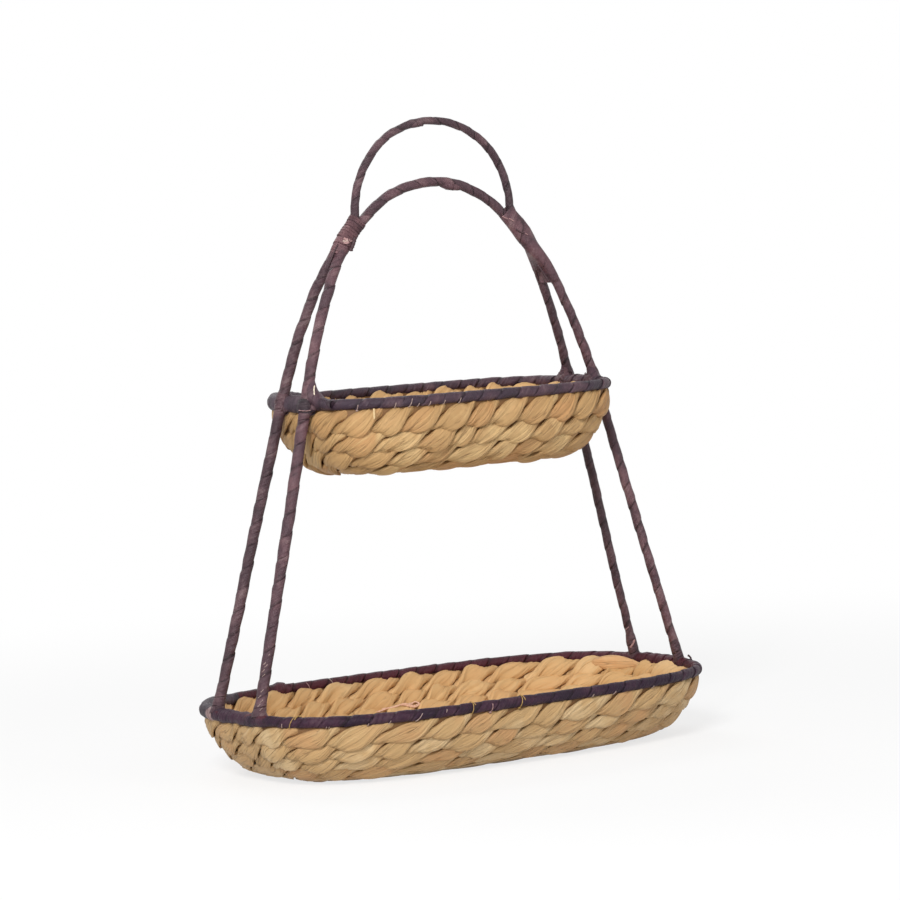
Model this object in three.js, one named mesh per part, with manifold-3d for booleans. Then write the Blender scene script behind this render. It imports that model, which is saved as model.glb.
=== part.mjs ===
// A two-tier basket stand: two oval baskets of water-hyacinth braid, sewn row to row, carried by a
// welded frame of round steel wire that is wound all over with dyed leaf tape. Two hoops of wire
// stand on the ends of the lower rim, pass outside the upper rim and meet at two shoulders. Above
// them the front hoop closes as the arch, and the rear hoop rises on as the carrying handle.

import * as THREE from "three";
import { mergeVertices } from "three/addons/utils/BufferGeometryUtils.js";
import Module from "manifold-3d";

// Driving dimensions, in millimetres. X runs along the baskets, Y from front to back and Z up.
// The origin is on the floor, under the middle of the stand.

// Wire, the tape wound round it, and the clearance between pieces that lie against each other
const WIRE_RADIUS = 2.5;
const TAPE = 1.6;
const GAP = 0.3;
const SEAM = 0.8; // between the end of one winding and the start of the next

// Rims: oval rings of wire, measured on the wire's centre line
const LOWER_RIM_LENGTH = 428;
const LOWER_RIM_WIDTH = 233;
const LOWER_RIM_SQUARENESS = 3.2;
const UPPER_RIM_LENGTH = 281;
const UPPER_RIM_WIDTH = 156;
const UPPER_RIM_SQUARENESS = 3.6;
const RIM_SPACING = 245;

// Baskets. The wall starts under the rim, leans in and turns at the knee into the flat base.
// Insets are measured inwards from the rim, and depths down from it.
const BRAID = 12;
const BRAID_PITCH = 16.5;
const WALL_ROWS = 4;
const WALL_TOP_INSET = 1.5;
const LOWER_DEPTH = 55;
const LOWER_KNEE_INSET = 19;
const LOWER_HEEL_INSET = 44;
const LOWER_BASE_ROWS = 3;
const UPPER_DEPTH = 60;
const UPPER_KNEE_INSET = 12.5;
const UPPER_HEEL_INSET = 39;
const UPPER_BASE_ROWS = 1;

// Hoops. The spreads are half the distance between the hoops, at the feet, at the crossings with
// the upper rim and at the neck, where they start to close on each other.
const FOOT_SPREAD = 31;
const CROSSING_SPREAD = 18;
const NECK_SPREAD = 10;
const ARCH_RISE = 173;
const ARCH_SIDE_PULL = 110;
const ARCH_CROWN_PULL = 75;
const HANDLE_HALF_SPAN = 77.5;
const HANDLE_SPRING = 151.5;
const HANDLE_RISE = 72;

// Where the hoops close and part again, as shares of the crown from the upper rim to the top
const NECK_AT = 0.29;
const BINDING_AT = 0.36;
const SHOULDER_LOW = 0.45;
const SHOULDER_HIGH = 0.56;

// Tape bindings at the shoulders, at the crossings with the upper rim and at the feet
const BINDING = 2;
const SHOULDER_OVERRUN = 10;
const CROSSING_REACH = 7;
const CROSSING_HEIGHT = 10;
const FOOT_REACH = 13;
const FOOT_HEIGHT = 17;

// Facets: sides round each tube, and steps along each curve
const WIRE_SIDES = 6;
const TAPE_SIDES = 8;
const BINDING_SIDES = 10;
const RIM_STEPS = 28;
const ARM_STEPS = 3;
const CLOSING_STEPS = 4;
const SHOULDER_STEPS = 3;
const PARTING_STEPS = 2;
const ARCH_STEPS = 7;
const TURN_STEPS = 3;
const HANDLE_STEPS = 8;

const WOUND_RADIUS = WIRE_RADIUS + TAPE;
const BOUND_RADIUS = WIRE_RADIUS + TAPE / 2 + BINDING;
const WIRE_PITCH = 2 * WIRE_RADIUS + GAP;
const LOWER_RIM_Z = LOWER_DEPTH;
const UPPER_RIM_Z = LOWER_RIM_Z + RIM_SPACING;

const UP = new THREE.Vector3(0, 0, 1);
const BACK = new THREE.Vector3(0, 1, 0);

const wasm = await Module();
wasm.setup();

const steel = new THREE.MeshStandardMaterial({ color: 0x4a4a4c, roughness: 0.45, metalness: 0.9 });
const dyedLeaf = new THREE.MeshStandardMaterial({ color: 0x4b3a40, roughness: 0.62, metalness: 0 });
const hyacinth = new THREE.MeshStandardMaterial({ color: 0xc49a5c, roughness: 0.75, metalness: 0 });

const stand = new THREE.Group();
stand.name = "two_tier_basket_stand";

function add(name, geometry, material) {
  const mesh = new THREE.Mesh(geometry, material);
  mesh.name = name;
  stand.add(mesh);
}

// Solids for cutting and joining

function toSolid(geometry) {
  const bare = new THREE.BufferGeometry();
  bare.setAttribute("position", geometry.getAttribute("position"));
  bare.setIndex(geometry.index);
  const merged = mergeVertices(bare, 1e-4);
  return new wasm.Manifold(
    new wasm.Mesh({
      numProp: 3,
      vertProperties: new Float32Array(merged.attributes.position.array),
      triVerts: new Uint32Array(merged.index.array),
    }),
  );
}

function toGeometry(solid) {
  const mesh = solid.getMesh();
  const geometry = new THREE.BufferGeometry()
    .setAttribute("position", new THREE.BufferAttribute(new Float32Array(mesh.vertProperties), 3))
    .setIndex(new THREE.BufferAttribute(new Uint32Array(mesh.triVerts), 1));
  geometry.computeVertexNormals();
  return geometry;
}

function join(geometries) {
  return geometries.map(toSolid).reduce((whole, solid) => whole.add(solid));
}

function cut(solid, cutters) {
  return toGeometry(cutters.map(toSolid).reduce((left, cutter) => left.subtract(cutter), solid));
}

function mirrored(geometry) {
  const copy = geometry.clone().scale(-1, 1, 1);
  copy.setIndex(Array.from(copy.index.array).reverse());
  return copy;
}

// A path is a list of stations. Each has a point, two directions across the path, and the distance
// run so far. Every tube on one path shares its stations, so tape and wire stay concentric.

function makePath(points, across, closed = false) {
  const count = points.length;
  let run = 0;
  const stations = points.map((point, i) => {
    const before = points[closed ? (i + count - 1) % count : Math.max(i - 1, 0)];
    const after = points[closed ? (i + 1) % count : Math.min(i + 1, count - 1)];
    const along = after.clone().sub(before).normalize();
    const out = new THREE.Vector3().crossVectors(across, along).normalize();
    const side = new THREE.Vector3().crossVectors(along, out);
    if (i > 0) run += point.distanceTo(points[i - 1]);
    return { point, out, side, run };
  });
  if (closed) {
    const first = stations[0];
    stations.push({ ...first, run: run + points[count - 1].distanceTo(first.point) });
  }
  return { stations, length: stations[stations.length - 1].run, closed };
}

function stationAt(path, run) {
  const { stations } = path;
  const next = Math.max(1, stations.findIndex((station) => station.run >= run - 1e-9));
  const a = stations[next - 1];
  const b = stations[next];
  const t = (run - a.run) / (b.run - a.run);
  return {
    point: a.point.clone().lerp(b.point, t),
    out: a.out.clone().lerp(b.out, t),
    side: a.side.clone().lerp(b.side, t),
    run,
  };
}

// The stretch of a path between two distances. On a closed path, distances may be negative.
function stretch(path, from, to) {
  if (path.closed && from < 0) {
    const early = stretch(path, from + path.length, Math.min(to, 0) + path.length);
    return to > 0 ? [...early.slice(0, -1), ...stretch(path, 0, to)] : early;
  }
  const inside = path.stations.filter(({ run }) => run > from + 1e-6 && run < to - 1e-6);
  return [stationAt(path, from), ...inside, stationAt(path, to)];
}

function polygon(radius, sides) {
  return Array.from({ length: sides }, (_, i) => {
    const angle = (2 * Math.PI * (i + 0.5)) / sides;
    return new THREE.Vector2(radius * Math.cos(angle), radius * Math.sin(angle));
  });
}

// The radius of a bore whose flats clear a polygon of the given radius
function boreRound(radius) {
  return radius + GAP / Math.cos(Math.PI / WIRE_SIDES);
}

// Skins round after round of points into side faces: a quad between each pair of neighbours
function skin(rounds, closed) {
  const size = rounds[0].length;
  const spans = closed ? rounds.length : rounds.length - 1;
  const indices = [];
  for (let i = 0; i < spans; i += 1) {
    const near = i * size;
    const far = ((i + 1) % rounds.length) * size;
    for (let j = 0; j < size; j += 1) {
      const k = (j + 1) % size;
      indices.push(near + j, near + k, far + k, near + j, far + k, far + j);
    }
  }
  return indices;
}

function meshOf(points, indices) {
  const positions = points.flatMap((point) => point.toArray());
  return new THREE.BufferGeometry()
    .setAttribute("position", new THREE.Float32BufferAttribute(positions, 3))
    .setIndex(indices);
}

// A solid through convex rounds of points, closed by fans at both ends unless it runs in a ring
function loft(rounds, closed = false) {
  const indices = skin(rounds, closed);
  if (!closed) {
    const size = rounds[0].length;
    const last = (rounds.length - 1) * size;
    for (let j = 1; j < size - 1; j += 1) indices.push(0, j + 1, j, last, last + j, last + j + 1);
  }
  return meshOf(rounds.flat(), indices);
}

function roundsAlong(stations, outline) {
  return stations.map(({ point, out, side }) =>
    outline.map((corner) => point.clone().addScaledVector(out, corner.x).addScaledVector(side, corner.y)),
  );
}

function rod(stations, radius, sides = WIRE_SIDES) {
  return loft(roundsAlong(stations, polygon(radius, sides)));
}

function ring(path, radius) {
  return loft(roundsAlong(path.stations.slice(0, -1), polygon(radius, WIRE_SIDES)), true);
}

// Tape wound round a wire: a tube with a bore, closed at each end by a flat annular face
function sleeve(stations) {
  const outline = polygon(WOUND_RADIUS, TAPE_SIDES);
  const hole = polygon(boreRound(WIRE_RADIUS), WIRE_SIDES);
  const outside = roundsAlong(stations, outline);
  const inside = roundsAlong(stations, hole);
  const start = outside.flat().length;
  const indices = [
    ...skin(outside, false),
    ...skin(inside, false).reverse().map((index) => index + start),
  ];
  const corner = (index, end) => {
    if (index < TAPE_SIDES) return end * TAPE_SIDES + index;
    return start + end * WIRE_SIDES + index - TAPE_SIDES;
  };
  const last = stations.length - 1;
  for (const [a, b, c] of THREE.ShapeUtils.triangulateShape(outline, [hole])) {
    indices.push(corner(a, 0), corner(c, 0), corner(b, 0));
    indices.push(corner(a, last), corner(b, last), corner(c, last));
  }
  return meshOf([...outside, ...inside].flat(), indices);
}

// Ovals: a rim and every row of braid below it are superellipses of one family

const lowerOval = {
  length: LOWER_RIM_LENGTH,
  width: LOWER_RIM_WIDTH,
  squareness: LOWER_RIM_SQUARENESS,
  rimZ: LOWER_RIM_Z,
  depth: LOWER_DEPTH,
  kneeInset: LOWER_KNEE_INSET,
  heelInset: LOWER_HEEL_INSET,
  baseRows: LOWER_BASE_ROWS,
};
const upperOval = {
  length: UPPER_RIM_LENGTH,
  width: UPPER_RIM_WIDTH,
  squareness: UPPER_RIM_SQUARENESS,
  rimZ: UPPER_RIM_Z,
  depth: UPPER_DEPTH,
  kneeInset: UPPER_KNEE_INSET,
  heelInset: UPPER_HEEL_INSET,
  baseRows: UPPER_BASE_ROWS,
};

function ovalPoint(oval, angle, inset, depth) {
  const bend = (value) => Math.sign(value) * Math.abs(value) ** (2 / oval.squareness);
  const x = (oval.length / 2 - inset) * bend(Math.cos(angle));
  const y = (oval.width / 2 - inset) * bend(Math.sin(angle));
  return new THREE.Vector3(x, y, oval.rimZ - depth);
}

// The angle at which a rim stands a given distance to the side of its long axis
function angleAtSide(oval, spread) {
  return Math.asin((spread / (oval.width / 2)) ** (oval.squareness / 2));
}

function endOfOval(oval, spread) {
  return ovalPoint(oval, angleAtSide(oval, spread), 0, 0).x;
}

function evenAngles() {
  return Array.from({ length: RIM_STEPS }, (_, i) => (2 * Math.PI * (i + 0.5)) / RIM_STEPS);
}

// A rim's path, with a station at each leg. Legs are numbered round from the rear right.
function makeRim(oval, spread) {
  const quarter = angleAtSide(oval, spread);
  const legAngles = [quarter, Math.PI - quarter, Math.PI + quarter, 2 * Math.PI - quarter];
  const angles = [...evenAngles(), ...legAngles].sort((a, b) => a - b);
  const path = makePath(angles.map((angle) => ovalPoint(oval, angle, 0, 0)), UP, true);
  const runs = legAngles.map((angle) => path.stations[angles.indexOf(angle)].run);
  return { path, runs };
}

// Hoops. Each half climbs straight from its foot to the upper rim, then follows one crown curve.

const footX = endOfOval(lowerOval, FOOT_SPREAD);
const crossingX = endOfOval(upperOval, CROSSING_SPREAD) + WIRE_PITCH;
const legLean = (footX - crossingX) / RIM_SPACING;

const crown = new THREE.CubicBezierCurve3(
  new THREE.Vector3(crossingX, 0, UPPER_RIM_Z),
  new THREE.Vector3(crossingX - legLean * ARCH_SIDE_PULL, 0, UPPER_RIM_Z + ARCH_SIDE_PULL),
  new THREE.Vector3(ARCH_CROWN_PULL, 0, UPPER_RIM_Z + ARCH_RISE),
  new THREE.Vector3(0, 0, UPPER_RIM_Z + ARCH_RISE),
);

// How the hoops pass from side by side to one outside the other: the distance between them, and the
// angle by which they have rolled round each other
function pairing(t) {
  const narrowing = THREE.MathUtils.lerp(CROSSING_SPREAD, NECK_SPREAD, t / NECK_AT);
  const closed = THREE.MathUtils.smoothstep(t, NECK_AT, SHOULDER_LOW);
  const apart = t <= NECK_AT ? 2 * narrowing : THREE.MathUtils.lerp(2 * NECK_SPREAD, WIRE_PITCH, closed);
  const rolled = THREE.MathUtils.smoothstep(t, BINDING_AT, SHOULDER_HIGH);
  return { apart, roll: (rolled * Math.PI) / 2 };
}

// A hoop's place at a share of the crown. The hoops keep to either side of the crown's curve, and
// past the shoulder the arch comes back to it.
function crownPoint(t, isHandle) {
  const { apart, roll } = pairing(t);
  const side = (isHandle ? 1 : -1) * (apart / 2);
  const offset = side * Math.sin(roll) * (1 - THREE.MathUtils.smoothstep(t, SHOULDER_HIGH, 1));
  const along = crown.getTangent(t);
  const point = crown.getPoint(t).addScaledVector(new THREE.Vector3(along.z, 0, -along.x), offset);
  point.y = side * Math.cos(roll);
  return point;
}

function evenly(from, to, steps) {
  return Array.from({ length: steps + 1 }, (_, i) => THREE.MathUtils.lerp(from, to, i / steps));
}

function archTop() {
  return evenly(SHOULDER_HIGH, 1, ARCH_STEPS).slice(1).map((t) => crownPoint(t, false));
}

// From the shoulder the handle turns upright, and closes as half an ellipse
function handleTop(shoulder) {
  const springZ = UPPER_RIM_Z + HANDLE_SPRING;
  const along = crown.getTangent(SHOULDER_HIGH);
  const turnZ = shoulder.z + ((HANDLE_HALF_SPAN - shoulder.x) * along.z) / along.x;
  const bend = new THREE.QuadraticBezierCurve3(
    shoulder,
    new THREE.Vector3(HANDLE_HALF_SPAN, 0, turnZ),
    new THREE.Vector3(HANDLE_HALF_SPAN, 0, springZ),
  );
  const arc = evenly(0, Math.PI / 2, HANDLE_STEPS).slice(1).map((angle) => {
    const x = HANDLE_HALF_SPAN * Math.cos(angle);
    return new THREE.Vector3(x, 0, springZ + HANDLE_RISE * Math.sin(angle));
  });
  return [...evenly(0, 1, TURN_STEPS).slice(1).map((t) => bend.getPoint(t)), ...arc];
}

// A whole hoop, from its right foot over the top to its left foot, and the distances along it of
// the places where it is bound
function makeHoop(isHandle) {
  const foot = new THREE.Vector3(footX, isHandle ? FOOT_SPREAD : -FOOT_SPREAD, LOWER_RIM_Z);
  const leg = [foot, foot.clone().lerp(crownPoint(0, isHandle), 0.5)];
  const shares = [
    ...evenly(0, NECK_AT, ARM_STEPS),
    ...evenly(NECK_AT, SHOULDER_LOW, CLOSING_STEPS).slice(1),
    ...evenly(SHOULDER_LOW, SHOULDER_HIGH, SHOULDER_STEPS).slice(1),
  ];
  const crownSide = shares.map((t) => crownPoint(t, isHandle));
  const top = isHandle ? handleTop(crownSide[crownSide.length - 1]) : archTop();
  const half = [...leg, ...crownSide, ...top];
  const otherHalf = half.slice(0, -1).map((p) => new THREE.Vector3(-p.x, p.y, p.z)).reverse();
  const path = makePath([...half, ...otherHalf], BACK);
  const runTo = (index) => path.stations[index].run;
  const parted = leg.length + shares.length - 1;
  return { path, crossing: runTo(leg.length), shares, firstShare: leg.length, parted: runTo(parted) };
}

const archHoop = makeHoop(false);
const handleHoop = makeHoop(true);
const lowerRim = makeRim(lowerOval, FOOT_SPREAD);
const upperRim = makeRim(upperOval, CROSSING_SPREAD);

// The frame's wires. A hoop's ends stand on the lower rim, square to the leg.
const legSeat = WIRE_RADIUS * (1 + legLean) + GAP;
for (const [name, { path }] of Object.entries({ arch: archHoop, handle: handleHoop })) {
  add(`${name}_hoop_wire`, rod(stretch(path, legSeat, path.length - legSeat), WIRE_RADIUS), steel);
}
add("lower_rim_wire", ring(lowerRim.path, WIRE_RADIUS), steel);
add("upper_rim_wire", ring(upperRim.path, WIRE_RADIUS), steel);

// Baskets. A basket's profile is the middle line of its braid: down the wall, then in along the base.

function profileOf(oval) {
  const floor = oval.depth - BRAID / 2;
  const wall = new THREE.QuadraticBezierCurve(
    new THREE.Vector2(WALL_TOP_INSET, WOUND_RADIUS + GAP),
    new THREE.Vector2(oval.kneeInset, floor),
    new THREE.Vector2(oval.heelInset, floor),
  );
  const base = new THREE.LineCurve(
    new THREE.Vector2(oval.heelInset, floor),
    new THREE.Vector2(oval.width / 2, floor),
  );
  return { wall, base };
}

// One row of braid: a band of six-sided section along a stretch of the profile, sharp where it
// meets its neighbours and full in the middle
function braidRow(oval, curve, from, to, spare = 0) {
  const length = curve.getLength();
  const place = (distance, thickness) => {
    const share = THREE.MathUtils.clamp(distance / length, 0, 1);
    const along = curve.getTangentAt(share);
    const middle = curve.getPointAt(share).addScaledVector(along, distance - share * length);
    return middle.addScaledVector(new THREE.Vector2(-along.y, along.x), thickness);
  };
  const full = (to - from) / 4;
  const half = BRAID / 2 + spare;
  const section = [
    place(from - spare, 0),
    place(from + full, half),
    place(to - full, half),
    place(to + spare, 0),
    place(to - full, -half),
    place(from + full, -half),
  ];
  const rounds = evenAngles().map((angle) => section.map(({ x, y }) => ovalPoint(oval, angle, x, y)));
  return loft(rounds, true);
}

// The middle of the base: the braid's first doubled length, as one oval pad with chamfered edges
function baseCore(oval, inset) {
  const floor = oval.depth - BRAID / 2;
  const edge = BRAID / 4;
  const levels = [[inset + edge, floor + BRAID / 2], [inset, floor], [inset + edge, floor - BRAID / 2]];
  return loft(levels.map(([x, y]) => evenAngles().map((angle) => ovalPoint(oval, angle, x, y))));
}

function addBasket(name, oval) {
  const { wall, base } = profileOf(oval);
  const rowHeight = wall.getLength() / WALL_ROWS;
  for (let row = 0; row < WALL_ROWS; row += 1) {
    const band = braidRow(oval, wall, row * rowHeight + GAP / 2, (row + 1) * rowHeight - GAP / 2);
    add(`${name}_basket_wall_row_${row + 1}`, band, hyacinth);
  }
  for (let row = 0; row < oval.baseRows; row += 1) {
    const band = braidRow(oval, base, row * BRAID_PITCH + GAP / 2, (row + 1) * BRAID_PITCH - GAP / 2);
    add(`${name}_basket_base_row_${row + 1}`, band, hyacinth);
  }
  const coreInset = oval.heelInset + oval.baseRows * BRAID_PITCH + GAP / 2;
  add(`${name}_basket_base_core`, baseCore(oval, coreInset), hyacinth);
}

addBasket("lower", lowerOval);
addBasket("upper", upperOval);

// The top row with a clearance all round, to cut what is wound over the rim above it
function topRowRoom(oval) {
  const { wall } = profileOf(oval);
  return braidRow(oval, wall, GAP / 2, wall.getLength() / WALL_ROWS, GAP);
}

// Tape bindings. Each is a solid round two wires, with room cut for both.

function wireRoom(path, from, to) {
  return rod(stretch(path, from, to), boreRound(WIRE_RADIUS));
}

function boundTube(path, from, to) {
  return rod(stretch(path, from, to), BOUND_RADIUS, BINDING_SIDES);
}

function tapeRoom(path, from, to) {
  return rod(stretch(path, from, to), WOUND_RADIUS + GAP / Math.cos(Math.PI / TAPE_SIDES), TAPE_SIDES);
}

// A leg and a rim tied together where they meet: tape round each, swelling where both pass
function tie(oval, rim, reach, hoop, from, to) {
  const [rimFrom, rimTo] = [rim.run - reach, rim.run + reach];
  const tubes = [boundTube(rim.path, rimFrom, rimTo), boundTube(hoop.path, from, to)];
  const rooms = [
    wireRoom(rim.path, rimFrom - SEAM, rimTo + SEAM),
    wireRoom(hoop.path, Math.max(from - SEAM, 0), to + SEAM),
    topRowRoom(oval),
  ];
  return cut(join(tubes), rooms);
}

// The shoulder: an oval section round both hoops, from where they close to where they part
const closing = archHoop.shares.findIndex((share) => share > BINDING_AT) + archHoop.firstShare;
const parted = archHoop.firstShare + archHoop.shares.length - 1;

function shoulderRound(inner, outer) {
  const across = outer.point.clone().sub(inner.point);
  const half = across.length() / 2;
  const middle = inner.point.clone().addScaledVector(across, 0.5);
  across.normalize();
  const along = new THREE.Vector3().crossVectors(inner.out, inner.side);
  const square = new THREE.Vector3().crossVectors(along, across).normalize();
  return polygon(BOUND_RADIUS, BINDING_SIDES).map(({ x, y }) => {
    const reach = x + Math.sign(x) * half;
    return middle.clone().addScaledVector(across, reach).addScaledVector(square, y);
  });
}

function shoulder() {
  const together = archHoop.path.stations.slice(closing, parted + 1).map((inner, i) => {
    return shoulderRound(inner, handleHoop.path.stations[closing + i]);
  });
  const parting = evenly(0, SHOULDER_OVERRUN, PARTING_STEPS).slice(1).map((extra) => {
    return shoulderRound(
      stationAt(archHoop.path, archHoop.parted + extra),
      stationAt(handleHoop.path, handleHoop.parted + extra),
    );
  });
  const beyond = 3 * BOUND_RADIUS;
  const rooms = [archHoop, handleHoop].flatMap(({ path, parted: run }) => {
    const low = path.stations[closing].run;
    const high = run + SHOULDER_OVERRUN;
    return [
      wireRoom(path, low - beyond, high + beyond),
      tapeRoom(path, low - beyond, low),
      tapeRoom(path, high, high + beyond),
    ];
  });
  return cut(toSolid(loft([...together, ...parting])), rooms);
}

function addPair(name, geometry, material) {
  add(`right_${name}`, geometry, material);
  add(`left_${name}`, mirrored(geometry), material);
}

addPair("shoulder_binding", shoulder(), dyedLeaf);

// Tape on each leg, below and above its crossing, and the ties at its foot and its crossing. The
// corner is the leg's number on both rims.
function addLegs(place, hoop, corner) {
  const footRim = { path: lowerRim.path, run: lowerRim.runs[corner] };
  const crossingRim = { path: upperRim.path, run: upperRim.runs[corner] };
  const tieFrom = hoop.crossing - CROSSING_HEIGHT;
  const tieTo = hoop.crossing + CROSSING_HEIGHT;
  const footTie = tie(lowerOval, footRim, FOOT_REACH, hoop, 0, FOOT_HEIGHT);
  const crossingTie = tie(upperOval, crossingRim, CROSSING_REACH, hoop, tieFrom, tieTo);
  const legTape = stretch(hoop.path, FOOT_HEIGHT + SEAM, tieFrom - SEAM);
  const armTape = stretch(hoop.path, tieTo + SEAM, hoop.path.stations[closing].run - SEAM);
  addPair(`${place}_foot_binding`, footTie, dyedLeaf);
  addPair(`${place}_leg_tape`, sleeve(legTape), dyedLeaf);
  addPair(`${place}_crossing_binding`, crossingTie, dyedLeaf);
  addPair(`${place}_arm_tape`, sleeve(armTape), dyedLeaf);
}

addLegs("front", archHoop, 3);
addLegs("rear", handleHoop, 0);

// Tape over the arch and the handle, from shoulder to shoulder
for (const [name, { path, parted: run }] of Object.entries({ arch: archHoop, handle: handleHoop })) {
  const start = run + SHOULDER_OVERRUN + SEAM;
  add(`${name}_tape`, sleeve(stretch(path, start, path.length - start)), dyedLeaf);
}

// Tape round each rim, in four lengths between its ties
function addRimTape(name, { path, runs }, reach) {
  const ends = reach + SEAM;
  const spans = { rear: [0, 1], left: [1, 2], front: [2, 3], right: [3, 0] };
  for (const [place, [a, b]] of Object.entries(spans)) {
    const from = a > b ? runs[a] - path.length : runs[a];
    add(`${name}_rim_tape_${place}`, sleeve(stretch(path, from + ends, runs[b] - ends)), dyedLeaf);
  }
}

addRimTape("lower", lowerRim, FOOT_REACH);
addRimTape("upper", upperRim, CROSSING_REACH);

export default stand;
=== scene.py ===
"""Two-tier basket stand: leaf tape wound round a wire frame, with two baskets of braided straw.

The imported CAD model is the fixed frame. Each class below is one sub-assembly that is built round it:
the windings of the hoops and rims, the ties where they cross, the shoulder bindings, the two
baskets, the stitches that hold them, and the studio. Sizes are in metres, in the frame of the CAD.
"""

import logging
import math
from collections.abc import Mapping, Sequence
from dataclasses import dataclass, replace
from enum import Enum
from typing import Any

import bpy
import numpy as np
from mathutils import Matrix, Vector


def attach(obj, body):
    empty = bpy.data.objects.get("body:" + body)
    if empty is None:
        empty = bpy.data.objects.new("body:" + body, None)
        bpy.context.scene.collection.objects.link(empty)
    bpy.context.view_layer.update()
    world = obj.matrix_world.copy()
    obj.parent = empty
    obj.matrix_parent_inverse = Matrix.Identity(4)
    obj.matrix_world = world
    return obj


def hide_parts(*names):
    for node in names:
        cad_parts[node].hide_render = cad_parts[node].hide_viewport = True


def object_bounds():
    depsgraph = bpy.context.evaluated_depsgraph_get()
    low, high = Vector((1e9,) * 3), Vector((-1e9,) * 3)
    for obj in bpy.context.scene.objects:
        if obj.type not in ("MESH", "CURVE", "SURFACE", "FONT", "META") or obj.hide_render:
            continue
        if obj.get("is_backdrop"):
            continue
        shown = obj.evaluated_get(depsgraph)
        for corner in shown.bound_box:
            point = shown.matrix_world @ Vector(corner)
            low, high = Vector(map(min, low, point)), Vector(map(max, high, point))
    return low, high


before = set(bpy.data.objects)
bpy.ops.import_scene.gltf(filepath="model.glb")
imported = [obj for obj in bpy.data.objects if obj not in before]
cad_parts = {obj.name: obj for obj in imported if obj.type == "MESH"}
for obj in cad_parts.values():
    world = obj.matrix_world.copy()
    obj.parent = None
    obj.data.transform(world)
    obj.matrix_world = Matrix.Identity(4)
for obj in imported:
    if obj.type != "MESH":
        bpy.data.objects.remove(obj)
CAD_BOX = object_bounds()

LOG = logging.getLogger("basket_stand")
TAU = 2 * math.pi
BODY = "root"
LEVEL = (0.0, 1.0, 0.0)
UPWARDS = (0.0, 0.0, 1.0)
MILLIMETRE = 0.001
MERGED = 2e-6  # Points of a form that lie closer than this are one.
NUDGE = 1e-3  # A small step in an angle, to measure a slope.
SHORT = 24  # Points of a short track.

Colour = tuple[float, float, float, float]
Spot = tuple[float, float, float]
Pair = tuple[float, float]
Values = Mapping[int | str, Any] | None
Piece = bpy.types.Object

WHITE: Colour = (1.0, 1.0, 1.0, 1.0)


def paint(red: int, green: int, blue: int) -> Colour:
    """Give the linear colour of a screen colour.

    Args:
        red, green, blue: The channels as a paint chart gives them, from 0 to 255.

    Returns:
        The linear red, green, blue and an alpha of 1.
    """

    def linear(channel: int) -> float:
        """Undo the screen curve of one channel."""
        share = channel / 255
        return share / 12.92 if share <= 0.04045 else ((share + 0.055) / 1.055) ** 2.4

    return (linear(red), linear(green), linear(blue), 1.0)


def unit(vectors: np.ndarray) -> np.ndarray:
    """Scale vectors to length one along their last axis."""
    return vectors / np.linalg.norm(vectors, axis=-1, keepdims=True)


def run_along(points: np.ndarray) -> np.ndarray:
    """Give how far a line has run at each of its points."""
    return np.concatenate([[0], np.cumsum(np.linalg.norm(np.diff(points, axis=0), axis=1))])


def full_turn(count: int) -> np.ndarray:
    """Give angles evenly round a full turn."""
    return np.linspace(0, TAU, count + 1)[:-1]


def smoothstep(value: float, low: float, high: float) -> float:
    """Ease from 0 at low to 1 at high."""
    share = min(max((value - low) / (high - low), 0.0), 1.0)
    return share * share * (3 - 2 * share)


def lerp(start: float, end: float, share: float) -> float:
    """Go a share of the way from start to end."""
    return start + (end - start) * share


def bezier(handles: Sequence[Sequence[float]], share: float) -> np.ndarray:
    """Give a point of a Bezier curve of any order.

    Args:
        handles: The curve's control points.
        share: The parameter, from 0 to 1.

    Returns:
        The point.
    """
    points = np.array(handles, float)
    while len(points) > 1:
        points = points[:-1] + (points[1:] - points[:-1]) * share
    return points[0]


# Node trees


class Sock:
    """A socket's value in a node tree, on which arithmetic is written as Python."""

    def __init__(self, graph: "Graph", socket: bpy.types.NodeSocket) -> None:
        """Wrap an output socket of the graph."""
        self.graph = graph
        self.socket = socket

    @property
    def is_vector(self) -> bool:
        """Tell whether the value has three parts."""
        return self.socket.type == "VECTOR"

    def _combine(self, operation: str, first: "Operand", second: "Operand") -> "Sock":
        """Add the Math or Vector Math node for one operator.

        Args:
            operation: The node's operation.
            first, second: The operands.

        Returns:
            The result.
        """
        vectors = [isinstance(x, tuple) or (isinstance(x, Sock) and x.is_vector) for x in (first, second)]
        if not any(vectors):
            return self.graph.out("ShaderNodeMath", {"operation": operation}, {0: first, 1: second})
        if operation == "MULTIPLY" and not all(vectors):
            vector, scale = (first, second) if vectors[0] else (second, first)
            return self.graph.out("ShaderNodeVectorMath", {"operation": "SCALE"}, {0: vector, "Scale": scale})
        return self.graph.out("ShaderNodeVectorMath", {"operation": operation}, {0: first, 1: second})

    def __add__(self, other: "Operand") -> "Sock":
        """Add."""
        return self._combine("ADD", self, other)

    __radd__ = __add__

    def __sub__(self, other: "Operand") -> "Sock":
        """Subtract."""
        return self._combine("SUBTRACT", self, other)

    def __rsub__(self, other: "Operand") -> "Sock":
        """Subtract, reflected."""
        return self._combine("SUBTRACT", other, self)

    def __mul__(self, other: "Operand") -> "Sock":
        """Multiply, or scale a vector."""
        return self._combine("MULTIPLY", self, other)

    __rmul__ = __mul__

    def __truediv__(self, other: "Operand") -> "Sock":
        """Divide."""
        return self._combine("DIVIDE", self, other)

    def __pow__(self, power: "Operand") -> "Sock":
        """Raise to a power."""
        return self._combine("POWER", self, power)


Operand = Sock | float | int | tuple


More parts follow.
